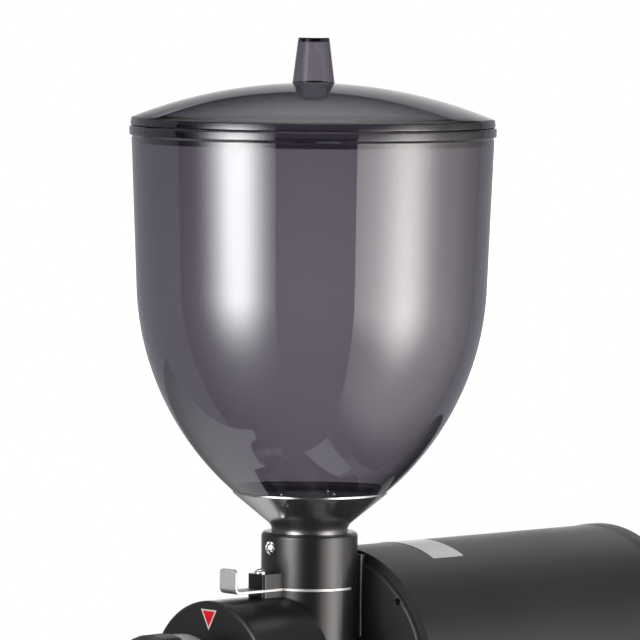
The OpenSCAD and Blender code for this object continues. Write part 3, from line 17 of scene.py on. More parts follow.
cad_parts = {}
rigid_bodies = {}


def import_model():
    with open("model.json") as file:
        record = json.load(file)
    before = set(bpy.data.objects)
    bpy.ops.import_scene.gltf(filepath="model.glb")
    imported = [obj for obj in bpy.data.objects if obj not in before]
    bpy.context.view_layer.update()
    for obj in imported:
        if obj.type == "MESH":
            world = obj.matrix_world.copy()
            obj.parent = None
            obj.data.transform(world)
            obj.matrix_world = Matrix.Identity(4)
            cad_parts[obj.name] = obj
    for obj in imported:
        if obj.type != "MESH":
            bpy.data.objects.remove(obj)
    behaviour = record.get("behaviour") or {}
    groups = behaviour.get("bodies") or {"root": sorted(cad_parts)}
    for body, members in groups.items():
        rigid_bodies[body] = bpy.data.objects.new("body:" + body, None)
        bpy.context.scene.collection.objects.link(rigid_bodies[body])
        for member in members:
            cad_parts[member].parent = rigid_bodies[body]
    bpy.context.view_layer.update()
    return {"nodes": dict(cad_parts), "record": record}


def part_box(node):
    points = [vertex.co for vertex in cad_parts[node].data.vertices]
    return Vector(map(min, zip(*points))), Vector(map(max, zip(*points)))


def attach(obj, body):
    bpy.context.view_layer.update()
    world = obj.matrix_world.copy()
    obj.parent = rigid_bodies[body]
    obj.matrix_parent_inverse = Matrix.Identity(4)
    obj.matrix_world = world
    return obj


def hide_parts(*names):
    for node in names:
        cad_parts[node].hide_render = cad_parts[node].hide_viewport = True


for leftover in list(bpy.data.objects):
    bpy.data.objects.remove(leftover)
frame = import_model()
nodes = frame["nodes"]
MM = 0.001


def middle(node):
    """The middle of a CAD node's box."""
    low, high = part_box(node)
    return (low + high) / 2


neck = middle("hopper_funnel")
axis_z = middle("motor_tube").z
print(len(nodes), "CAD nodes, neck axis at y", round(neck.y, 4), "motor axis at z", round(axis_z, 4))

# %% [markdown]
# ## Camera
#
# The photograph was taken with a long lens from far away, slightly above the hopper's middle, and
# it shows only the upper part of the machine. A Track To constraint could aim the camera, but the
# picture also leans by half a degree, so the camera's three directions are worked out and written
# as a matrix. Azimuth 0 looks at the front, and 90 at the +X side; all angles here are degrees. The
# aim is a point beside the neck axis: a height over the motor axis, and a step to the right.

# %% Camera
view_azimuth = 46.43
view_pitch = 3.68
view_roll = 0.51
view_distance = 3.48
lens_mm = 341.6
sensor_mm = 36
far_clip = 100
aim_right = 0.0049
aim_height = 0.2063


def compass(azimuth, elevation=0.0):
    """The unit vector that points to an azimuth and an elevation, both in degrees."""
    a, e = math.radians(azimuth), math.radians(elevation)
    return Vector((math.sin(a) * math.cos(e), -math.cos(a) * math.cos(e), math.sin(e)))


def new_object(name, data):
    """Makes an object and puts it in the scene."""
    made = bpy.data.objects.new(name, data)
    bpy.context.scene.collection.objects.link(made)
    return made


def put_camera():
    """Makes the scene's camera where the photograph was taken from."""
    look = -compass(view_azimuth, view_pitch)
    level = compass(view_azimuth + 90)
    upright = level.cross(look)
    roll = math.radians(view_roll)
    right = math.cos(roll) * level + math.sin(roll) * upright
    up = math.cos(roll) * upright - math.sin(roll) * level
    aim = Vector((neck.x, neck.y, axis_z + aim_height)) + level * aim_right
    data = bpy.data.cameras.new("photo_camera")
    data.sensor_width = sensor_mm
    data.lens = lens_mm
    data.clip_end = far_clip
    made = new_object("photo_camera", data)
    turn = Matrix((right, up, -look)).transposed().to_4x4()
    made.matrix_world = Matrix.Translation(aim - look * view_distance) @ turn
    bpy.context.scene.camera = made
    return made


camera = put_camera()
bpy.context.scene.view_settings.view_transform = "Standard"
print("camera at", [round(c, 3) for c in camera.location])

# %% [markdown]
# ## A small helper for node trees
#
# Materials, the world and Geometry Nodes are node trees. Each node could be made, set and linked in
# lines of its own, but such a tree is hard to follow. One helper adds a node, sets its properties,
# and fills each input with a value or a link, so that a tree reads top to bottom.

# %% Node helper


def add(tree, kind, values=None, **settings):
    """Adds a node to a tree. An input's value may be a number, a colour or another node's output."""
    made = tree.nodes.new(kind)
    for name, value in settings.items():
        setattr(made, name, value)
    for socket, value in (values or {}).items():
        if isinstance(value, bpy.types.NodeSocket):
            tree.links.new(value, made.inputs[socket])
        else:
            made.inputs[socket].default_value = value
    return made


def math_node(tree, operation, a, b=0.0):
    """One step of arithmetic. Returns the result's socket."""
    return add(tree, "ShaderNodeMath", {0: a, 1: b}, operation=operation).outputs[0]


def empty_material(name):
    """A new material whose node tree is still empty."""
    material = bpy.data.materials.new(name)
    material.use_nodes = True
    material.node_tree.nodes.clear()
    return material


print("helpers for node trees:", [helper.__name__ for helper in (add, math_node, empty_material)])

# %% [markdown]
# ## The studio
#
# A product like this is shot on white, between two tall diffusion panels that draw a long
# highlight on each side of the hopper, with a soft light overhead and a white sheet behind. A
# panel is brightest where its lamp stands and fades towards its edges. Area lamps could stand in
# for the panels, but they shine evenly. So each panel is a mesh whose light is a sum of soft
# spots, which the shader works out from the place on the panel.

# %% Light by soft spots
white_light = (1.0, 1.0, 1.0)


def glow(name, colour, spots, underside=False):
    """An emission that is the sum of soft spots in the object's own XY plane.

    Each spot is (strength, x, y, width, height). With underside, a level card is clear from above.
    """
    material = empty_material(name)
    tree = material.node_tree
    place = add(tree, "ShaderNodeTexCoord").outputs["Object"]
    split = add(tree, "ShaderNodeSeparateXYZ", {0: place})
    total = 0.0
    for strength, x, y, width, height in spots:
        across = math_node(tree, "DIVIDE", math_node(tree, "SUBTRACT", split.outputs[0], x), width)
        upward = math_node(tree, "DIVIDE", math_node(tree, "SUBTRACT", split.outputs[1], y), height)
        square = math_node(tree, "ADD", math_node(tree, "MULTIPLY", across, across),
                           math_node(tree, "MULTIPLY", upward, upward))
        falloff = math_node(tree, "EXPONENT", math_node(tree, "MULTIPLY", square, -1.0))
        total = math_node(tree, "ADD", total, math_node(tree, "MULTIPLY", falloff, strength))
    light = add(tree, "ShaderNodeEmission", {"Color": (*colour, 1), "Strength": total})
    if underside:
        clear = add(tree, "ShaderNodeBsdfTransparent")
        from_below = add(tree, "ShaderNodeNewGeometry").outputs["Backfacing"]
        light = add(tree, "ShaderNodeMixShader",
                    {0: from_below, 1: clear.outputs[0], 2: light.outputs[0]})
    add(tree, "ShaderNodeOutputMaterial", {"Surface": light.outputs[0]})
    return material


overhead_light = glow("overhead_light", white_light, [(1.9, 0.0, 0.0, 1.35, 1.35)])
print(overhead_light.name, "has", len(overhead_light.node_tree.nodes), "nodes")

# %% [markdown]
# A panel that also lit the paint would lift every dark colour. The light could be turned down for
# the paint in each shader, but it is simpler to make cards that only reflections see: an object's
# visibility is switched off for the camera, diffuse light, refraction and shadows. The first card
# is the panel overhead.

# %% Cards and the overhead panel
overhead_half = 2.6
overhead_height = 1.8


def hide_from(made, *rays):
    """Makes an object invisible to these kinds of rays."""
    for ray in rays:
        setattr(made, "visible_" + ray, False)


def card(name, corners, turn, place, material):
    """A flat card of the stage that only reflections see. Its corners are in its own XY plane."""
    mesh = bpy.data.meshes.new(name)
    mesh.from_pydata([(x, y, 0) for x, y in corners], [], [list(range(len(corners)))])
    mesh.materials.append(material)
    made = new_object(name, mesh)
    made.matrix_world = Matrix.Translation(place) @ turn
    hide_from(made, "camera", "diffuse", "transmission", "volume_scatter", "shadow")
    return made


def level_card(name, corners, height, material):
    """A card that lies level at a height. Its corners are measured from the neck axis."""
    return card(name, corners, Matrix(), Vector((neck.x, neck.y, height)), material)


def oblong(left, right, front, back):
    """The corners of a rectangle."""
    return [(left, front), (right, front), (right, back), (left, back)]


overhead = level_card(
    "overhead_panel", oblong(-overhead_half, overhead_half, -overhead_half, overhead_half),
    overhead_height, overhead_light)
print(overhead.name, "at z", overhead_height)

# %% [markdown]
# The two tall panels stand to the left and the right of the camera, and the gap between them is
# dark. On the bowl they make the narrow bright streak, the broad soft one and the dark stripe
# between the two. The left panel's lamp stands close to it. The right panel is wider, warmer and
# more evenly lit, so it takes more spots.

# %% Side panels
panel_distance = 0.9
panel_low = -1.6
panel_high = 1.25
left_azimuth = -7
left_span = (-0.7, 0.545)
left_spots = [(22.5, 0.117, 0.49, 0.25, 0.29), (0.9, 0.10, 0.10, 0.45, 0.45)]
right_azimuth = 115
right_span = (-0.80, 1.7)
right_spots = [(9.8, -0.13, 0.37, 0.24, 0.33), (5.8, -0.38, 0.34, 0.55, 0.26),
               (2.2, -0.20, -0.35, 0.80, 0.60), (1.1, 0.42, 0.35, 0.45, 0.60),
               (0.6, 1.2, 0.0, 0.7, 1.2)]
warm_light = (1.0, 0.96, 0.93)


def upright_card(name, azimuth, distance, left, right, bottom, top, material, slant=0.0):
    """A card that stands at an azimuth from the neck and faces it. The top edge drops by the slant."""
    out = compass(azimuth)
    across = Vector((out.y, -out.x, 0))
    turn = Matrix((-across, Vector((0, 0, 1)), out)).transposed().to_4x4()
    corners = [(left, bottom), (right, bottom), (right, top - slant * right), (left, top - slant * left)]
    return card(name, corners, turn, Vector((neck.x, neck.y, 0)) + out * distance, material)


left_panel = upright_card("left_panel", left_azimuth, panel_distance, *left_span,
                          panel_low, panel_high, glow("left_panel_light", white_light, left_spots))
right_panel = upright_card("right_panel", right_azimuth, panel_distance, *right_span,
                           panel_low, panel_high, glow("right_panel_light", warm_light, right_spots))
print("panels:", left_panel.name, right_panel.name)

# %% [markdown]
# The white sheet behind the machine ends above the hopper, and the strip over its top edge is dark:
# that is why the lid shows a bright rim and a dark band. The hopper also mirrors the white table,
# whose front edge ends a hand's breadth before the machine, and a strip of light over the motor
# gives the top of its tube a broad sheen. The strip is lit only on its underside, so that a view
# from above doesn't find a white board in the bowl.

# %% Sheet, table and motor strip
sheet_distance = 1.5
sheet_half = 0.39
sheet_top = 1.252
sheet_slant = 0.36
sheet_spots = [(0.85, -0.30, 0.75, 0.75, 0.60), (2.2, -0.05, 0.38, 0.6, 0.28)]
table_span = (-1.5, -0.10)
table_front, table_back = -0.34, 0.9
table_spots = [(0.25, 0.0, 0.0, 9.0, 9.0), (1.15, -0.10, -0.15, 0.62, 0.62)]
side_sheet_corners = [(0.107, -0.141), (0.232, -0.096), (0.151, 0.129), (0.108, 0.083)]
strip_span = (-0.24, 0.10)
strip_front, strip_back = 0.10, 0.80
strip_height = 0.23
strip_spots = [(1.5, -0.09, 0.4, 0.13, 9.0)]

white_sheet = upright_card("white_sheet", view_azimuth + 180, sheet_distance, -sheet_half, sheet_half,
                           0.0, sheet_top, glow("white_sheet_light", white_light, sheet_spots),
                           sheet_slant)
table_white = glow("table_light", white_light, table_spots)
table = level_card("table_reflection", oblong(*table_span, table_front, table_back), 0, table_white)
side_sheet = level_card("side_sheet_reflection", side_sheet_corners, 0, table_white)
motor_strip = level_card("motor_strip", oblong(*strip_span, strip_front, strip_back),
                         axis_z + strip_height,
                         glow("motor_strip_light", white_light, strip_spots, underside=True))
print("more cards:", [o.name for o in (white_sheet, table, side_sheet, motor_strip)])

# %% [markdown]
# The machine stands on a pale floor. A plain white floor would show grey far from the lamps and a
# horizon behind the machine. So the floor is a disc that is plain diffuse white near the machine,
# where it keeps the shadow, and further out turns to the same white as the world, for the camera
# and for what the clear plastic shows of it. Reflections see the table card instead.

# %% Floor
floor_radius = 4.0
floor_facets = 96
floor_paint = (0.86, 0.86, 0.86, 1)
fade_start = 0.7
fade_end = 2.6


def seen_directly(tree):
    """1 for rays of the camera and through clear plastic, and the Light Path node itself."""
    path = add(tree, "ShaderNodeLightPath")
    seen = math_node(tree, "MAXIMUM", path.outputs["Is Camera Ray"],
                     path.outputs["Is Transmission Ray"])
    return seen, path


def floor_material():
    """White paint near the middle, and far out the white of the background."""
    material = empty_material("pale_floor")
    tree = material.node_tree
    place = add(tree, "ShaderNodeTexCoord").outputs["Object"]
    reach = add(tree, "ShaderNodeVectorMath", {0: place}, operation="LENGTH").outputs["Value"]
    fade = add(tree, "ShaderNodeMapRange",
               {"Value": reach, "From Min": fade_start, "From Max": fade_end},
               interpolation_type="SMOOTHSTEP").outputs["Result"]
    paint = add(tree, "ShaderNodeBsdfDiffuse", {"Color": floor_paint})
    white = add(tree, "ShaderNodeEmission", {"Color": (1, 1, 1, 1), "Strength": seen_directly(tree)[0]})
    both = add(tree, "ShaderNodeMixShader", {0: fade, 1: paint.outputs[0], 2: white.outputs[0]})
    add(tree, "ShaderNodeOutputMaterial", {"Surface": both.outputs[0]})
    return material


def lay_floor():
    """A disc about the machine, which reflections don't see."""
    mesh = bpy.data.meshes.new("floor")
    shape = bmesh.new()
    bmesh.ops.create_circle(shape, cap_ends=True, segments=floor_facets, radius=floor_radius)
    shape.to_mesh(mesh)
    shape.free()
    mesh.materials.append(floor_material())
    floor = new_object("floor", mesh)
    hide_from(floor, "glossy")
    return floor


print(lay_floor().name, "of radius", floor_radius)

# %% [markdown]
# The world is the white background. One plain white would do for the camera, but it would also
# light the paint and fill every reflection. The Light Path node tells the rays apart: white to the
# camera and through plastic, a grey fill for the paint, and in reflections a cool room that is dark
# behind the camera and lighter to the sides and the back.

# %% World
fill_level = 0.42
room_dark = 0.06
room_light = 0.47
room_colour = (0.95, 0.98, 1.08)
dark_from = 0.45
light_from = 0.0


def paint_world():
    """Makes the world's node tree, from the kind of ray and its heading to a colour."""
    world = bpy.data.worlds.new("white_studio")
    bpy.context.scene.world = world
    world.use_nodes = True
    tree = world.node_tree
    tree.nodes.clear()
    seen, path = seen_directly(tree)
    glossy = path.outputs["Is Glossy Ray"]
    way = add(tree, "ShaderNodeTexCoord").outputs["Generated"]
    level_way = add(tree, "ShaderNodeVectorMath", {0: way, 1: (1, 1, 0)}, operation="MULTIPLY")
    heading = add(tree, "ShaderNodeVectorMath", {0: level_way.outputs["Vector"]}, operation="NORMALIZE")
    to_camera = add(tree, "ShaderNodeVectorMath",
                    {0: heading.outputs["Vector"], 1: compass(view_azimuth)}, operation="DOT_PRODUCT")
    mirrored = add(tree, "ShaderNodeMapRange",
                   {"Value": to_camera.outputs["Value"], "From Min": dark_from, "From Max": light_from,
                    "To Min": room_dark, "To Max": room_light}, interpolation_type="SMOOTHSTEP")
    room = add(tree, "ShaderNodeMapRange",
               {"Value": glossy, "To Min": fill_level, "To Max": mirrored.outputs["Result"]})
    level = add(tree, "ShaderNodeMapRange",
                {"Value": seen, "To Min": room.outputs["Result"], "To Max": 1.0})
    white = Vector(white_light)
    only_mirrored = math_node(tree, "MAXIMUM", math_node(tree, "SUBTRACT", glossy, seen), 0.0)
    cast = add(tree, "ShaderNodeVectorMath", {0: Vector(room_colour) - white, "Scale": only_mirrored},
               operation="SCALE")
    tint = add(tree, "ShaderNodeVectorMath", {0: cast.outputs["Vector"], 1: white}, operation="ADD")
    sky = add(tree, "ShaderNodeBackground",
              {"Color": tint.outputs["Vector"], "Strength": level.outputs["Result"]})
    add(tree, "ShaderNodeOutputWorld", {"Surface": sky.outputs[0]})


paint_world()
print("world fill", fill_level, "room", room_dark, "to", room_light)

# %% [markdown]
# Three plain lamps light the paint, the plates and the floor, at a level at which a colour renders
# as it is written. The panels could do it as well, but then a brighter highlight would also mean
# paler paint. Reflections and clear plastic don't see the lamps.

# %% Lamps


def lamp(name, azimuth, elevation, distance, size, watts):
    """A square area lamp that faces the motor axis below the neck."""
    data = bpy.data.lights.new(name, "AREA")
    data.size = size
    data.energy = watts
    made = new_object(name, data)
    toward = compass(azimuth, elevation)
    made.location = Vector((neck.x, neck.y, axis_z)) + toward * distance
    made.rotation_mode = "QUATERNION"
    made.rotation_quaternion = toward.to_track_quat("Z", "Y")
    hide_from(made, "camera", "glossy", "transmission")
    return made


lamps = [
    lamp("key_lamp", azimuth=-15, elevation=30, distance=1.8, size=0.9, watts=10.0),
    lamp("fill_lamp", azimuth=115, elevation=30, distance=1.8, size=0.9, watts=2.5),
    lamp("top_lamp", azimuth=46, elevation=85, distance=1.6, size=1.6, watts=3.5),
]
print("lamps:", [(o.name, o.data.energy) for o in lamps])

# %% [markdown]
# ## Finishes
#
# Three effects are shared by several finishes, so each is a shader group: the fine pebble of
# powder coat and moulded plastic, the long scratches of brushed or turned metal, and the faint
# cloudiness that handling leaves on any surface. They could be built again in each material, but a
# group is built once and takes each material's own values. They read Object coordinates, which are
# the part's own frame, because every piece sits at the origin with its place in its mesh.

# %% Pebble and scratches


def new_group(name, inputs, outputs):
    """A shader group with named inputs and outputs, and the nodes at its two ends."""
    tree = bpy.data.node_groups.new(name, "ShaderNodeTree")
    for socket, value in inputs.items():
        made = tree.interface.new_socket(socket, in_out="INPUT", socket_type="NodeSocketFloat")
        made.default_value = value
    for socket in outputs:
        tree.interface.new_socket(socket, in_out="OUTPUT", socket_type="NodeSocketFloat")
    return tree, add(tree, "NodeGroupInput"), add(tree, "NodeGroupOutput")


def pebble_group():
    tree, inputs, outputs = new_group("pebble", {"Per Metre": 1500.0}, ["Height"])
    place = add(tree, "ShaderNodeTexCoord").outputs["Object"]
    noise = add(tree, "ShaderNodeTexNoise", {"Vector": place, "Scale": inputs.outputs["Per Metre"],
                                             "Detail": 2.0, "Roughness": 0.55})
    tree.links.new(noise.outputs["Fac"], outputs.inputs["Height"])
    return tree


def scratch_group():
    """Noise that is drawn out along the axis with the lowest density."""
    tree, inputs, outputs = new_group(
        "scratches", {"Along X": 20.0, "Along Y": 900.0, "Along Z": 900.0}, ["Height"])
    place = add(tree, "ShaderNodeTexCoord").outputs["Object"]
    stretch = add(tree, "ShaderNodeCombineXYZ", {i: inputs.outputs[i] for i in range(3)})
    scaled = add(tree, "ShaderNodeVectorMath", {0: place, 1: stretch.outputs[0]}, operation="MULTIPLY")
    noise = add(tree, "ShaderNodeTexNoise", {"Vector": scaled.outputs[0], "Scale": 1.0, "Detail": 3.0})
    tree.links.new(noise.outputs["Fac"], outputs.inputs["Height"])
    return tree


groups = {"pebble": pebble_group(), "scratches": scratch_group()}
print("relief groups:", sorted(groups))

# %% [markdown]
# A surface that hands, cloths and coffee dust have touched isn't evenly glossy. Painted patches
# could show that, but a slow noise does it everywhere at once: it moves the roughness between two
# values, and makes the colour a little lighter and darker.

# %% Handling
cloud_low = 0.3
cloud_high = 0.7


def handling_group():
    tree, inputs, outputs = new_group(
        "handling", {"Per Metre": 14.0, "Low": 0.3, "High": 0.4, "Fade": 0.08}, ["Roughness", "Shade"])
    place = add(tree, "ShaderNodeTexCoord").outputs["Object"]
    noise = add(tree, "ShaderNodeTexNoise", {"Vector": place, "Scale": inputs.outputs["Per Metre"],
                                             "Detail": 4.0, "Distortion": 0.6})
    lowest = math_node(tree, "SUBTRACT", 1.0, inputs.outputs["Fade"])
    highest = math_node(tree, "ADD", 1.0, inputs.outputs["Fade"])
    ranges = {"Roughness": (inputs.outputs["Low"], inputs.outputs["High"]), "Shade": (lowest, highest)}
    for result, (low, high) in ranges.items():
        spread = add(tree, "ShaderNodeMapRange",
                     {"Value": noise.outputs["Fac"], "From Min": cloud_low, "From Max": cloud_high,
                      "To Min": low, "To Max": high})
        tree.links.new(spread.outputs["Result"], outputs.inputs[result])
    return tree


groups["handling"] = handling_group()
print("shader groups:", sorted(groups))

# %% [markdown]
# Nearly every finish here is the Principled BSDF with some of these groups. The materials could be
# written out one by one, but a maker that takes a colour, a roughness and a relief keeps them short
# and alike. The Bevel node shades hard CAD edges as if a tool had broken them, without new faces.

# %% Finish maker
edge_softness = 0.35 * MM
edge_samples = 4
relief_depth = 0.2 * MM


def finish(name, colour, roughness, metallic=0.0, pebble=None, scratches=None, bump=0.1, **sockets):
    """A material on the Principled BSDF.

    roughness is a number, or (low, high) for a handled surface, whose colour then varies a little
    too. pebble is grains per metre, and scratches the three densities of the scratch group. Edges
    of relief finishes are shaded as if slightly rounded. Other sockets are set as they are named.
    """
    material = bpy.data.materials.new(name)
    material.use_nodes = True
    tree = material.node_tree
    shader = tree.nodes["Principled BSDF"]
    shader.inputs["Base Color"].default_value = (*colour, 1)
    shader.inputs["Metallic"].default_value = metallic
    if isinstance(roughness, tuple):
        low, high = roughness
        handled = add(tree, "ShaderNodeGroup", {"Low": low, "High": high}, node_tree=groups["handling"])
        tree.links.new(handled.outputs["Roughness"], shader.inputs["Roughness"])
        tinted = add(tree, "ShaderNodeVectorMath", {0: colour, 1: handled.outputs["Shade"]},
                     operation="MULTIPLY")
        tree.links.new(tinted.outputs["Vector"], shader.inputs["Base Color"])
    else:
        shader.inputs["Roughness"].default_value = roughness
    relief = None
    if pebble:
        relief = add(tree, "ShaderNodeGroup", {"Per Metre": pebble}, node_tree=groups["pebble"])
    elif scratches:
        relief = add(tree, "ShaderNodeGroup", dict(enumerate(scratches)), node_tree=groups["scratches"])
    if relief:
        soft = add(tree, "ShaderNodeBevel", {"Radius": edge_softness}, samples=edge_samples)
        raised = add(tree, "ShaderNodeBump",
                     {"Strength": bump, "Distance": relief_depth, "Normal": soft.outputs[0],
                      "Height": relief.outputs["Height"]})
        tree.links.new(raised.outputs["Normal"], shader.inputs["Normal"])
    for socket, value in sockets.items():
        shader.inputs[socket.replace("_", " ").title().replace("Ior", "IOR")].default_value = value
    return material


print("edges are shaded as if rounded by", edge_softness / MM, "mm")

# %% [markdown]
# The hopper is injection-moulded smoked plastic. A dark transmission colour could tint it, but then
# a thick edge is no darker than a thin wall. Real smoke tint lies in the depth of the plastic, so
# the colour is an absorption in the volume, and edges where light travels further come out darker.

# %% Smoked plastic
smoke_colour = (0.638, 0.619, 0.661)
smoke_density = 925.0
smoke_gloss = 0.02
plastic_ior = 1.49


def smoked_plastic():
    material = finish("smoked_plastic", (1, 1, 1), smoke_gloss, transmission_weight=1.0, ior=plastic_ior)
    tree = material.node_tree
    smoke = add(tree, "ShaderNodeVolumeAbsorption",
                {"Color": (*smoke_colour, 1), "Density": smoke_density})
    tree.links.new(smoke.outputs[0], tree.nodes["Material Output"].inputs["Volume"])
    return material


finishes = {"smoked_plastic": smoked_plastic()}
print("smoke", smoke_colour, "density", smoke_density)

# %% [markdown]
# Castings, motor tube, knob and feet are all black, and one black could do for them. But a black
# piece is read by its sheen, so the powder coat, the plastic and the rubber differ in roughness,
# in how much they mirror, and in the size of their pebble. The red of the pointer and the pale
# plastic of the electrics are made the same way.

# %% Coats, plastics and rubber


def stock(name, colour, roughness, **looks):
    """Makes a finish and keeps it under the name of its material slot."""
    finishes[name] = finish(name, colour, roughness, **looks)


stock("cast_black", (0.0095, 0.0095, 0.010), (0.28, 0.33), pebble=1300, bump=0.12, specular_ior_level=0.33)
stock("motor_black", (0.029, 0.029, 0.0305), (0.40, 0.46), pebble=1300, bump=0.12, specular_ior_level=0.22)
stock("black_plastic", (0.016, 0.016, 0.017), (0.36, 0.46), pebble=1800, bump=0.15)
stock("rubber", (0.022, 0.022, 0.022), (0.70, 0.80), pebble=900, bump=0.2)
stock("pointer_red", (0.90, 0.005, 0.024), (0.42, 0.48), pebble=2200, bump=0.04, specular_ior_level=0.1)
stock("pale_plastic", (0.66, 0.65, 0.61), (0.42, 0.52), pebble=1600, bump=0.05)
print(len(finishes), "finishes so far")

# %% [markdown]
# The metals differ in colour and in the marks of the tool: brushed sheet, turned shafts, cast iron,
# drawn copper wire. An anisotropic shader could give the brushed look, but scratches in the relief
# also show from close by. The three numbers are their densities along X, Y and Z, and a low one
# draws the scratches out that way. The funnel is a dark plated metal.

# %% Metals
stock("funnel_black", (0.34, 0.34, 0.345), (0.19, 0.24), metallic=0.9)
stock("bright_steel", (0.32, 0.32, 0.32), 0.50, metallic=1.0, scratches=(25, 700, 700), bump=0.05)
stock("bright_screws", (0.74, 0.74, 0.74), (0.14, 0.20), metallic=1.0, scratches=(300, 300, 300),
      bump=0.03)
stock("dial_alloy", (0.55, 0.55, 0.56), 0.38, metallic=1.0, scratches=(40, 900, 40), bump=0.08)
stock("machined_steel", (0.58, 0.58, 0.59), (0.24, 0.34), metallic=1.0, scratches=(500, 60, 500),
      bump=0.05)
stock("iron", (0.26, 0.26, 0.27), (0.45, 0.6), metallic=1.0, pebble=900, bump=0.2)
stock("zinc_sheet", (0.52, 0.53, 0.55), (0.3, 0.45), metallic=1.0, pebble=400, bump=0.03)
stock("copper_wire", (0.55, 0.22, 0.09), (0.28, 0.38), metallic=1.0, scratches=(1500, 1500, 60), bump=0.35)
stock("bronze", (0.55, 0.36, 0.16), (0.28, 0.38), metallic=1.0, scratches=(600, 40, 600), bump=0.05)
print("finishes:", sorted(finishes))

# %% [markdown]
# The CAD nodes keep their meshes and only get a finish. The record gives the material slot of each
# node, so one loop dresses them all. Four nodes then get a finish of their own. Column and base are
# often seen at a flat angle, where the castings' coat would mirror the panels, so theirs is coarser.
# The screws of the knob and the cover are blackened, so that they don't shine out of the black.

# %% Finishes on the CAD nodes
for row in frame["record"]["subparts"]:
    mesh = nodes[row["node"]].data
    mesh.materials.clear()
    mesh.materials.append(finishes[row["material_slot"]])
stand_black = finish("stand_black", (0.013, 0.013, 0.0135), (0.66, 0.72), pebble=800, bump=0.25,
                     specular_ior_level=0.12)
blackened = finish("blackened_steel", (0.045, 0.045, 0.047), (0.36, 0.44),
                   scratches=(300, 300, 300), bump=0.04)
own_finish = {"column": stand_black, "base": stand_black,
              "knob_screw": blackened, "cover_screws": blackened}
for piece, material in own_finish.items():
    nodes[piece].data.materials[0] = material
print("finishes on", len(nodes), "CAD nodes,", len(own_finish), "of them their own")

# %% [markdown]
# ## The hopper, turned from its profile
#
# Bowl, lid and funnel are bodies of revolution. The CAD meshes have them too, but clear plastic
# shows every facet and needs edges that are softly rounded, so each is turned again here from a
# profile with rounded corners. A Screw modifier could do the turning. A Geometry Nodes tree was
# chosen, because its facets and its finish are named inputs: it sweeps the profile round a circle.

# %% The turning tree
merge_gap = 1e-6


def start_tree(name, **sockets):
    """A Geometry Nodes tree with named inputs of the given kinds. Returns it and its inputs."""
    tree = bpy.data.node_groups.new(name, "GeometryNodeTree")
    for socket, kind in sockets.items():
        tree.interface.new_socket(socket, in_out="INPUT", socket_type="NodeSocket" + kind)
    tree.interface.new_socket("Geometry", in_out="OUTPUT", socket_type="NodeSocketGeometry")
    return tree, add(tree, "NodeGroupInput").outputs


def end_tree(tree, shape, dress):
    """Ends a tree in Realize Instances and Set Material, because the export drops instances."""
    real = add(tree, "GeometryNodeRealizeInstances", {"Geometry": shape})
    dressed = add(tree, "GeometryNodeSetMaterial",
                  {"Geometry": real.outputs["Geometry"], "Material": dress})
    add(tree, "NodeGroupOutput", {"Geometry": dressed.outputs["Geometry"]})


def turning_tree():
    tree, inputs = start_tree("turned piece", Profile="Geometry", Facets="Int", PathRadius="Float",
                              Finish="Material")
    profile = add(tree, "GeometryNodeMeshToCurve", {"Mesh": inputs["Profile"]})
    circle = add(tree, "GeometryNodeCurvePrimitiveCircle",
                 {"Resolution": inputs["Facets"], "Radius": inputs["PathRadius"]})
    swept = add(tree, "GeometryNodeCurveToMesh",
                {"Curve": circle.outputs["Curve"], "Profile Curve": profile.outputs["Curve"]})
    closed = add(tree, "GeometryNodeMergeByDistance",
                 {"Geometry": swept.outputs["Mesh"], "Distance": merge_gap})
    end_tree(tree, closed.outputs["Geometry"], inputs["Finish"])
    return tree


turning = turning_tree()
print("turning tree with", len(turning.nodes), "nodes")

# %% [markdown]
# A node tree could stay on its object as a live modifier, but the pose and export tools want plain
# meshes. So the tree runs once on a source object, the result is kept as a mesh, and the source
# goes. Then the faces are turned outwards, and edges sharper than the crease angle stay sharp.

# %% From a node tree to a plain mesh
crease_angle = math.radians(35)


def finish_mesh(name, mesh):
    """Turns a mesh's faces outwards, shades it smooth with sharp edges, and puts it in the scene."""
    shape = bmesh.new()
    shape.from_mesh(mesh)
    bmesh.ops.remove_doubles(shape, verts=shape.verts, dist=merge_gap)
    bmesh.ops.recalc_face_normals(shape, faces=shape.faces)
    shape.to_mesh(mesh)
    shape.free()
    mesh.shade_smooth()
    mesh.set_sharp_from_angle(angle=crease_angle)
    return new_object(name, mesh)


def plain_mesh(source, name):
    """The evaluated object's shape as a plain mesh. The source object is removed."""
    evaluated = source.evaluated_get(bpy.context.evaluated_depsgraph_get())
    made = bpy.data.meshes.new_from_object(evaluated)
    made.name = name
    bpy.data.objects.remove(source)
    return made


def bake_nodes(name, mesh, tree, values):
    """Runs a Geometry Nodes tree on a mesh. Its inputs are set by name, through their identifiers."""
    source = new_object(name + "_source", mesh)
    modifier = source.modifiers.new("make", "NODES")
    modifier.node_group = tree
    for item in tree.interface.items_tree:
        if item.in_out == "INPUT" and item.name in values:
            modifier[item.identifier] = values[item.name]
    return finish_mesh(name, plain_mesh(source, name))


print("edges stay sharp over", round(math.degrees(crease_angle)), "degrees")

# %% [markdown]
# A profile is a closed list of points, each a radius and a height. Every point could be typed, but
# a moulded piece is made of straight walls, large arcs and rounded corners, so helpers write the
# points: one follows an arc, and another eases corners. The last one turns a profile to a piece.

# %% Profile helpers
turn_facets = 240
path_radius = 60 * MM


def arc(centre, radius, start, end, steps):
    """Points on an arc, angles in degrees."""
    turns = [math.radians(start + (end - start) * i / steps) for i in range(steps + 1)]
    return [(centre[0] + radius * math.cos(t), centre[1] + radius * math.sin(t)) for t in turns]


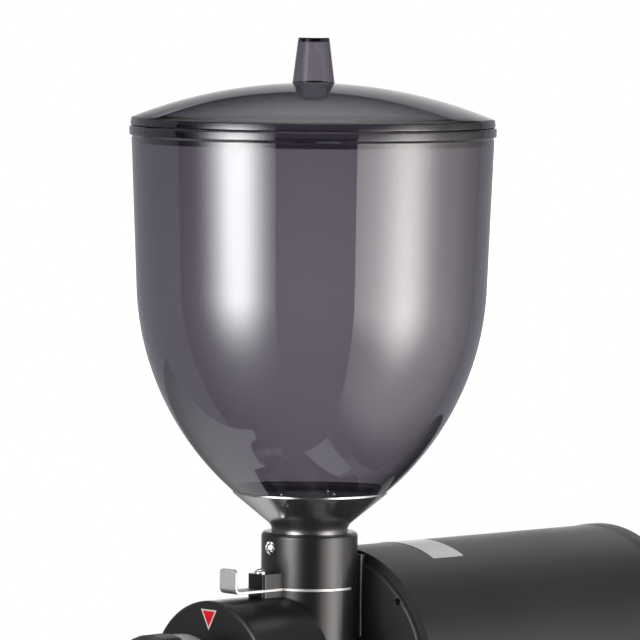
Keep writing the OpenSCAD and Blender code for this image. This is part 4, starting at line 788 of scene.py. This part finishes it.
def eased(corners, steps=5):
    """A closed outline whose corners, given as (x, y, rounding), are rounded off."""
    points = []
    for i, (x, y, rounding) in enumerate(corners):
        here = Vector((x, y))
        if not rounding:
            points.append((x, y))
            continue
        back = (Vector(corners[i - 1][:2]) - here).normalized()
        ahead = (Vector(corners[(i + 1) % len(corners)][:2]) - here).normalized()
        half = back.angle(ahead) / 2
        cut = rounding / math.tan(half)
        first, last = here + back * cut, here + ahead * cut
        centre = here + (back + ahead).normalized() * (rounding / math.sin(half))
        for k in range(steps + 1):
            spoke = first.lerp(last, k / steps) - centre
            points.append(tuple(centre + spoke.normalized() * rounding))
    return points


def plain(points):
    """Points of a curve as corners with no rounding."""
    return [(x, y, 0) for x, y in points]


def turned(name, profile, material_slot, body, stands_for):
    """Turns a closed profile of (radius, z) points about the neck axis, in place of a CAD node."""
    mesh = bpy.data.meshes.new(name + "_profile")
    ring = [(r - path_radius, -z, 0) for r, z in profile]
    mesh.from_pydata(ring, [(i, (i + 1) % len(ring)) for i in range(len(ring))], [])
    made = bake_nodes(name, mesh, turning, {
        "Facets": turn_facets, "PathRadius": path_radius, "Finish": finishes[material_slot]})
    made.data.transform(Matrix.Translation((neck.x, neck.y, 0)))
    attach(made, body)
    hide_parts(stands_for)
    print(name, len(made.data.polygons), "faces")


square = [(0, 0, 1), (4, 0, 1), (4, 4, 1), (0, 4, 1)]
print("a square with eased corners has", len(eased(square)), "points")

# %% [markdown]
# The bowl is one moulding. Its wall leans in a little from the bead at the rim, then turns in on one
# large arc down to the ring that stands on the funnel's ledge. The wall could be a surface with a
# Solidify modifier, but a drawn inner line keeps the foot flat, and runs parallel to the outer one.

# %% Bowl
bowl_low, bowl_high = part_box("hopper_bowl")
rim_z = bowl_high.z
foot_z = bowl_low.z
turn_height = 224.2 * MM
edge_out = 0.4 * MM
bead_r = (bowl_high.x - bowl_low.x) / 2 + edge_out
bead_face_h = 5.0 * MM
bead_h = 6.4 * MM
bead_rim = 1.25 * MM
mouth_round, bead_round, bead_foot_round = 0.5 * MM, 1.0 * MM, 0.8 * MM
bowl_taper = 3.45 * MM
turn_z = axis_z + turn_height
bowl_arc_r = 161.8 * MM
bowl_wall = 3.0 * MM
large_arc_steps = 40
bowl_top_r = bead_r - bead_rim
bowl_draft = math.atan(bowl_taper / (rim_z - bead_h - turn_z))
bowl_centre = (bowl_top_r - bowl_taper - bowl_arc_r * math.cos(bowl_draft),
               turn_z + bowl_arc_r * math.sin(bowl_draft))


def foot_turn(radius):
    """The angle at which an arc about the bowl's centre reaches the foot."""
    return -math.degrees(math.asin((bowl_centre[1] - foot_z) / radius))


draft_turn = -math.degrees(bowl_draft)
inner_r = bowl_arc_r - bowl_wall
mouth_r = bowl_top_r - bowl_wall / math.cos(bowl_draft)
outer_arc = arc(bowl_centre, bowl_arc_r, draft_turn, foot_turn(bowl_arc_r), large_arc_steps)
inner_arc = arc(bowl_centre, inner_r, foot_turn(inner_r), draft_turn, large_arc_steps)
foot_bore_r = inner_arc[0][0]
bowl_profile = eased(
    [(mouth_r, rim_z, mouth_round), (bead_r, rim_z, bead_round),
     (bead_r, rim_z - bead_face_h, bead_foot_round), (bowl_top_r, rim_z - bead_h, bead_foot_round)]
    + plain(outer_arc) + plain(inner_arc))
turned("hopper_bowl_clear", bowl_profile, "smoked_plastic", "frame", "hopper_bowl")

# %% [markdown]
# The lid is a shallow dome with a skirt that drops into the bowl, and a hollow conical knob that is
# moulded in one with it. Dome and knob could be two meshes, but clear plastic would show the joint,
# so one profile holds both. The edge leans in a little, as a moulding does to leave its tool. The
# lid stands a hair over the bead, so that the two clear volumes don't share a face.

# %% Lid
lid_low, lid_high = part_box("hopper_lid")
lid_gap = 0.15 * MM
lid_seat = rim_z + lid_gap
lid_r = (lid_high.x - lid_low.x) / 2 + edge_out
lid_wall = 2.5 * MM
lid_edge_h = 4.6 * MM
lid_draft = 0.6 * MM
dome_rise = 20.5 * MM
skirt_play = 0.9 * MM
skirt_r = mouth_r - skirt_play
skirt_low = lid_low.z
knob_foot_r = 12.1 * MM
knob_top_r = 8.9 * MM
knob_top = lid_high.z
axis_r = 0.02 * MM
seat_round, lid_foot_round, lid_edge_round = 0.3 * MM, 0.8 * MM, 1.5 * MM
knob_round, inner_round = 0.6 * MM, 0.5 * MM
dome_r = (lid_r ** 2 + dome_rise ** 2) / (2 * dome_rise)
dome_centre = (0.0, rim_z + lid_edge_h + dome_rise - dome_r)
dome_in_r = dome_r - lid_wall
bore_foot_r, bore_top_r = knob_foot_r - lid_wall, knob_top_r - lid_wall


def dome_arc(radius, start_reach, end_reach):
    """The dome's arc of this radius, between two distances from the neck axis."""
    start, end = (math.degrees(math.acos(reach / radius)) for reach in (start_reach, end_reach))
    return arc(dome_centre, radius, start, end, large_arc_steps)


outer_dome = dome_arc(dome_r, lid_r - lid_draft, knob_foot_r)
inner_dome = dome_arc(dome_in_r, bore_foot_r, skirt_r - lid_wall)
lid_profile = eased(
    [(skirt_r, lid_seat, seat_round), (lid_r, lid_seat, lid_foot_round), (*outer_dome[0], lid_edge_round)]
    + plain(outer_dome[1:-1])
    + [(*outer_dome[-1], knob_round), (knob_top_r, knob_top, knob_round), (axis_r, knob_top, 0),
       (axis_r, knob_top - lid_wall, 0), (bore_top_r, knob_top - lid_wall, inner_round)]
    + plain(inner_dome)
    + [(skirt_r - lid_wall, skirt_low, inner_round), (skirt_r, skirt_low, inner_round)])
turned("hopper_lid_clear", lid_profile, "smoked_plastic", "lid", "hopper_lid")

# %% [markdown]
# The funnel carries the bowl on a thin ledge, and its spigot stands in the neck, held by the screw.
# A cone on a pipe would be near, but the light catches the blend between the two. So the profile
# runs from the ledge down a cone that meets the blend's arc without a kink: the angle of that
# tangent is worked out from the blend's centre and the ledge.

# %% Funnel
funnel_low, funnel_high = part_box("hopper_funnel")
ledge_r = (funnel_high.x - funnel_low.x) / 2
ledge_t = 1.3 * MM
ledge_gap = 0.05 * MM
ledge_z = foot_z - ledge_gap
funnel_wall = 2.2 * MM
spigot_r = 21.8 * MM
blend_r = 7.0 * MM
blend_steps = 12
neck_height = 85 * MM
neck_top = axis_z + neck_height
lip_play = 0.3 * MM
lip_r = foot_bore_r - lip_play
lip_bore = lip_r - funnel_wall
lip_foot_round, ledge_round, spigot_round = 0.2 * MM, 0.35 * MM, 0.3 * MM
lip_root_round, lip_round = 0.5 * MM, 0.4 * MM
blend_centre = (spigot_r + blend_r, neck_top)
rise, reach = foot_z - ledge_t - neck_top, ledge_r - blend_centre[0]
cone_turn = math.degrees(math.atan2(rise, reach) + math.acos(blend_r / math.hypot(rise, reach)))
outer_blend = arc(blend_centre, blend_r, cone_turn, 180, blend_steps)
inner_blend = arc(blend_centre, blend_r + funnel_wall, 180, cone_turn, blend_steps)
cone_lean = math.radians(180 - cone_turn)
lip_root = inner_blend[-1][1] + (lip_bore - inner_blend[-1][0]) / math.tan(cone_lean)
funnel_profile = eased(
    [(lip_r, ledge_z, lip_foot_round), (ledge_r, ledge_z, ledge_round),
     (ledge_r, foot_z - ledge_t, ledge_round)]
    + plain(outer_blend)
    + [(spigot_r, funnel_low.z, spigot_round), (spigot_r - funnel_wall, funnel_low.z, spigot_round)]
    + plain(inner_blend)
    + [(lip_bore, lip_root, lip_root_round), (lip_bore, funnel_high.z, lip_round),
       (lip_r, funnel_high.z, lip_round)])
turned("hopper_funnel_turned", funnel_profile, "funnel_black", "frame", "hopper_funnel")

# %% [markdown]
# ## Small things on the skin
#
# A bare silver plate is glued over the motor's shoulder. A flat plate with a Shrinkwrap modifier
# could follow the tube. But it is foil on a plain round tube, so it is built in rows about the
# motor's axis, and a row near either end is shorter, which rounds the corners.

# %% Motor plate
foil = finish("plate_foil", (0.60, 0.61, 0.60), (0.36, 0.44), metallic=0.3,
              scratches=(30, 900, 30), bump=0.03)
plate_front = neck.y + 69.6 * MM
plate_back = neck.y + 94.4 * MM
plate_from, plate_to = 65.0, 104.0
plate_corner = 1.5 * MM
plate_rows = 60
foil_t = 0.15 * MM
glue_t = 0.02 * MM


def wrapped_sheet(name, rows, radius, thick):
    """A thin closed sheet about the motor's axis, from rows of (turn in degrees, front y, back y)."""
    points, faces = [], []
    for turn, front, back in rows:
        spoke = Vector((math.cos(math.radians(turn)), 0, math.sin(math.radians(turn))))
        for r, y in ((radius + thick, front), (radius + thick, back), (radius, back), (radius, front)):
            points.append(Vector((0, y, axis_z)) + spoke * r)
    for i in range(0, len(points) - 4, 4):
        faces += [(i + k, i + (k + 1) % 4, i + 4 + (k + 1) % 4, i + 4 + k) for k in range(4)]
    faces += [(0, 1, 2, 3), tuple(len(points) - 4 + k for k in range(4))]
    mesh = bpy.data.meshes.new(name)
    mesh.from_pydata(points, [], faces)
    return finish_mesh(name, mesh)


def motor_plate():
    """The plate, with its rows closest where its corners are round."""
    low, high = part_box("motor_tube")
    radius = (high.x - low.x) / 2
    rows = []
    for i in range(plate_rows + 1):
        turn = plate_from + (plate_to - plate_from) * (1 - math.cos(math.pi * i / plate_rows)) / 2
        from_end = math.radians(min(turn - plate_from, plate_to - turn)) * radius
        inset = plate_corner - math.sqrt(plate_corner ** 2 - max(plate_corner - from_end, 0) ** 2)
        rows.append((turn, plate_front + inset, plate_back - inset))
    made = wrapped_sheet("motor_plate", rows, radius + glue_t, foil_t)
    made.data.materials.append(foil)
    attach(made, "frame")
    print("plate", len(made.data.polygons), "faces")


motor_plate()

# %% [markdown]
# The pointer is a red triangle with a white border. The border could be a colour in the red's
# shader, but a mask would need the triangle's edges again. The red plate is CAD's, and the border
# is a thin ring of paint on it: the outline, less the same outline drawn in towards its middle.

# %% Pointer border
white_paint = finish("white_paint", (0.80, 0.80, 0.79), (0.40, 0.48), pebble=2200, bump=0.04)
border_wide = 0.85 * MM
border_lift = 0.05 * MM
border_t = 0.04 * MM


def paint_ring(name, outer, inner, depth):
    """A closed flat ring between two outlines with the same number of points."""
    count = len(outer)
    points = [Vector(p) for p in outer] + [Vector(p) for p in inner]
    points += [p + Vector(depth) for p in points]
    top_out, top_in, low_out, low_in = (range(k * count, (k + 1) * count) for k in range(4))
    faces = []
    for one, other in ((top_out, top_in), (low_out, low_in), (top_out, low_out), (top_in, low_in)):
        for i in range(count):
            j = (i + 1) % count
            faces.append((one[i], one[j], other[j], other[i]))
    mesh = bpy.data.meshes.new(name)
    mesh.from_pydata(points, [], faces)
    return finish_mesh(name, mesh)


def pointer_border():
    """The border of the CAD pointer, as wide on all three sides."""
    low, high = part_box("setting_pointer")
    y = low.y - border_lift
    tip_x = (low.x + high.x) / 2
    outline = [Vector((low.x, y, high.z)), Vector((high.x, y, high.z)), Vector((tip_x, y, low.z))]
    sides = [(outline[(i + 1) % 3] - outline[(i + 2) % 3]).length for i in range(3)]
    centre = sum((p * s for p, s in zip(outline, sides)), Vector()) / sum(sides)
    in_radius = (high.x - low.x) * (high.z - low.z) / sum(sides)
    keep = 1 - border_wide / in_radius
    inner = [centre + (p - centre) * keep for p in outline]
    made = paint_ring("pointer_border", outline, inner, (0, border_t, 0))
    made.data.materials.append(white_paint)
    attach(made, "frame")
    print("pointer border, in-radius", round(in_radius, 5))


pointer_border()

# %% [markdown]
# The dial's ring is engraved with a scale, a short mark for each fine step and a long one for each
# number. A loop could copy the marks, but they repeat along an arc, and that is what Geometry Nodes
# do well: points on the arc, and on each a small block turned to the arc's direction.

# %% The scale's tree


def scale_tree():
    tree, inputs = start_tree("marks on an arc", Geometry="Geometry", Count="Int", Radius="Float",
                              Sweep="Float", Mark="Vector", Finish="Material")
    half = math_node(tree, "MULTIPLY", inputs["Sweep"], 0.5)
    start = math_node(tree, "SUBTRACT", math.pi / 2, half)
    bow = add(tree, "GeometryNodeCurveArc", {"Resolution": inputs["Count"], "Radius": inputs["Radius"],
                                             "Start Angle": start, "Sweep Angle": inputs["Sweep"]})
    points = add(tree, "GeometryNodeCurveToPoints", {"Curve": bow.outputs["Curve"]}, mode="EVALUATED")
    block = add(tree, "GeometryNodeMeshCube", {"Size": inputs["Mark"]})
    spot = add(tree, "GeometryNodeInputPosition").outputs[0]
    facing = add(tree, "FunctionNodeAlignRotationToVector", {"Vector": spot}, axis="Y", pivot_axis="Z")
    marks = add(tree, "GeometryNodeInstanceOnPoints",
                {"Points": points.outputs["Points"], "Instance": block.outputs["Mesh"],
                 "Rotation": facing.outputs[0]})
    end_tree(tree, marks.outputs["Instances"], inputs["Finish"])
    return tree


scale = scale_tree()
print("scale tree with", len(scale.nodes), "nodes")

# %% [markdown]
# The tree sets the marks out in the XY plane about the origin. Object transforms could bring them
# to the dial, but a finished piece keeps its place in its mesh, so the mesh itself is stood up and
# moved. The marks ride on the dial and turn with it. Their black is paint in the engraving.

# %% Marks on the dial
engraving = finish("engraving_black", (0.012, 0.012, 0.012), (0.5, 0.6), pebble=2000, bump=0.05)
scale_sweep = 300.0
scale_steps = 10
short_marks_per_step = 5
mark_deep = 0.12 * MM
long_mark = (0.55 * MM, 3.8 * MM)
short_mark = (0.35 * MM, 2.4 * MM)
ring_low, ring_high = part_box("dial_ring")
ring_r = (ring_high.x - ring_low.x) / 2
ring_mid = middle("dial_ring")
scale_inset = 0.9 * MM
scale_back = ring_high.y - scale_inset


def scale_marks(name, count, wide, long):
    """One row of marks round the dial's ring, which turns with it."""
    made = bake_nodes(name, bpy.data.meshes.new(name), scale, {
        "Count": count, "Radius": ring_r, "Sweep": math.radians(scale_sweep),
        "Mark": (wide, mark_deep, long), "Finish": engraving})
    place = Matrix.Translation((ring_mid.x, scale_back - long / 2, ring_mid.z))
    made.data.transform(place @ Matrix.Rotation(math.pi / 2, 4, "X"))
    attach(made, "dial")
    print(name, len(made.data.polygons), "faces")


scale_marks("dial_long_marks", scale_steps + 1, *long_mark)
scale_marks("dial_short_marks", scale_steps * short_marks_per_step + 1, *short_mark)

# %% [markdown]
# Each long mark has a number. A Curve modifier could bend the text round the ring, but it distorts
# letters that stand away from the curve. So each number is set in the built-in font, made a mesh,
# and bent point by point: a letter's width becomes an angle. All the numbers are one piece.

# %% Numbers on the dial
number_height = 4.6 * MM
number_raise = 0.06 * MM
number_y = scale_back - 6.9 * MM


def numeral(digits):
    """A number as a flat mesh about its own middle."""
    letters = bpy.data.curves.new("numeral", "FONT")
    letters.body = digits
    letters.size = number_height
    letters.align_x, letters.align_y = "CENTER", "CENTER"
    letters.extrude = number_raise
    return plain_mesh(new_object("numeral", letters), "numeral")


def dial_numbers():
    """All the numbers of the scale, read from the front with the middle one on top."""
    shape = bmesh.new()
    for n in range(scale_steps + 1):
        first = len(shape.verts)
        shape.from_mesh(numeral(str(n)))
        shape.verts.ensure_lookup_table()
        middle_turn = math.radians((n / scale_steps - 0.5) * scale_sweep)
        for vert in shape.verts[first:]:
            turn = middle_turn + vert.co.x / ring_r
            r = ring_r + vert.co.z
            vert.co = Vector((ring_mid.x + r * math.sin(turn), number_y + vert.co.y,
                              ring_mid.z + r * math.cos(turn)))
    mesh = bpy.data.meshes.new("dial_numbers")
    shape.to_mesh(mesh)
    shape.free()
    made = finish_mesh("dial_numbers", mesh)
    made.data.materials.append(engraving)
    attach(made, "dial")
    print("numbers", len(made.data.polygons), "faces")


dial_numbers()

# %% [markdown]
# The rocker carries the usual bar and ring, printed in white on its two flats. Their places could
# be typed in, but the flats lean with the rocker. They are found in the CAD mesh as the two largest
# groups of faces that look outwards, and each mark is a ring of paint in such a plane. The bar is a
# ring too, drawn in until its hole is a hair's breadth.

# %% Marks on the rocker
outward = 0.7
paint_lift = 0.04 * MM
paint_t = 0.03 * MM
bar_half, bar_high = 0.35 * MM, 2.2 * MM
hole_wide, hole_high = 0.02, 0.9
ring_out, ring_in = 2.2 * MM, 1.6 * MM
ring_points = 48


def rocker_flats():
    """The two outer flats of the rocker as (middle, normal), the upper one first."""
    flats = {}
    for face in nodes["switch_rocker"].data.polygons:
        if face.normal.x > outward:
            key = tuple(round(c, 2) for c in face.normal)
            area, place = flats.get(key, (0.0, Vector()))
            flats[key] = (area + face.area, place + face.center * face.area)
    largest = sorted(flats.items(), key=lambda flat: -flat[1][0])[:2]
    found = [(place / area, Vector(key).normalized()) for key, (area, place) in largest]
    return sorted(found, key=lambda flat: -flat[0].z)


def rocker_mark(name, outer, inner, flat):
    """A ring of white paint on a flat, from outlines in its own plane."""
    place, normal = flat
    upward = (Vector((0, 0, 1)) - normal * normal.z).normalized()
    across = upward.cross(normal)
    lift = place + normal * paint_lift

    def on_flat(points):
        return [lift + across * x + upward * y for x, y in points]

    made = paint_ring(name, on_flat(outer), on_flat(inner), -normal * paint_t)
    made.data.materials.append(white_paint)
    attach(made, "rocker")
    print(name, "on", [round(c, 4) for c in place])


def circle(radius):
    """A closed circle's points about the origin."""
    return arc((0, 0), radius, 0, 360 - 360 / ring_points, ring_points - 1)


upper_flat, lower_flat = rocker_flats()
bar = oblong(-bar_half, bar_half, -bar_high, bar_high)
rocker_mark("rocker_bar", bar, [(x * hole_wide, y * hole_high) for x, y in bar], upper_flat)
rocker_mark("rocker_ring", circle(ring_out), circle(ring_in), lower_flat)
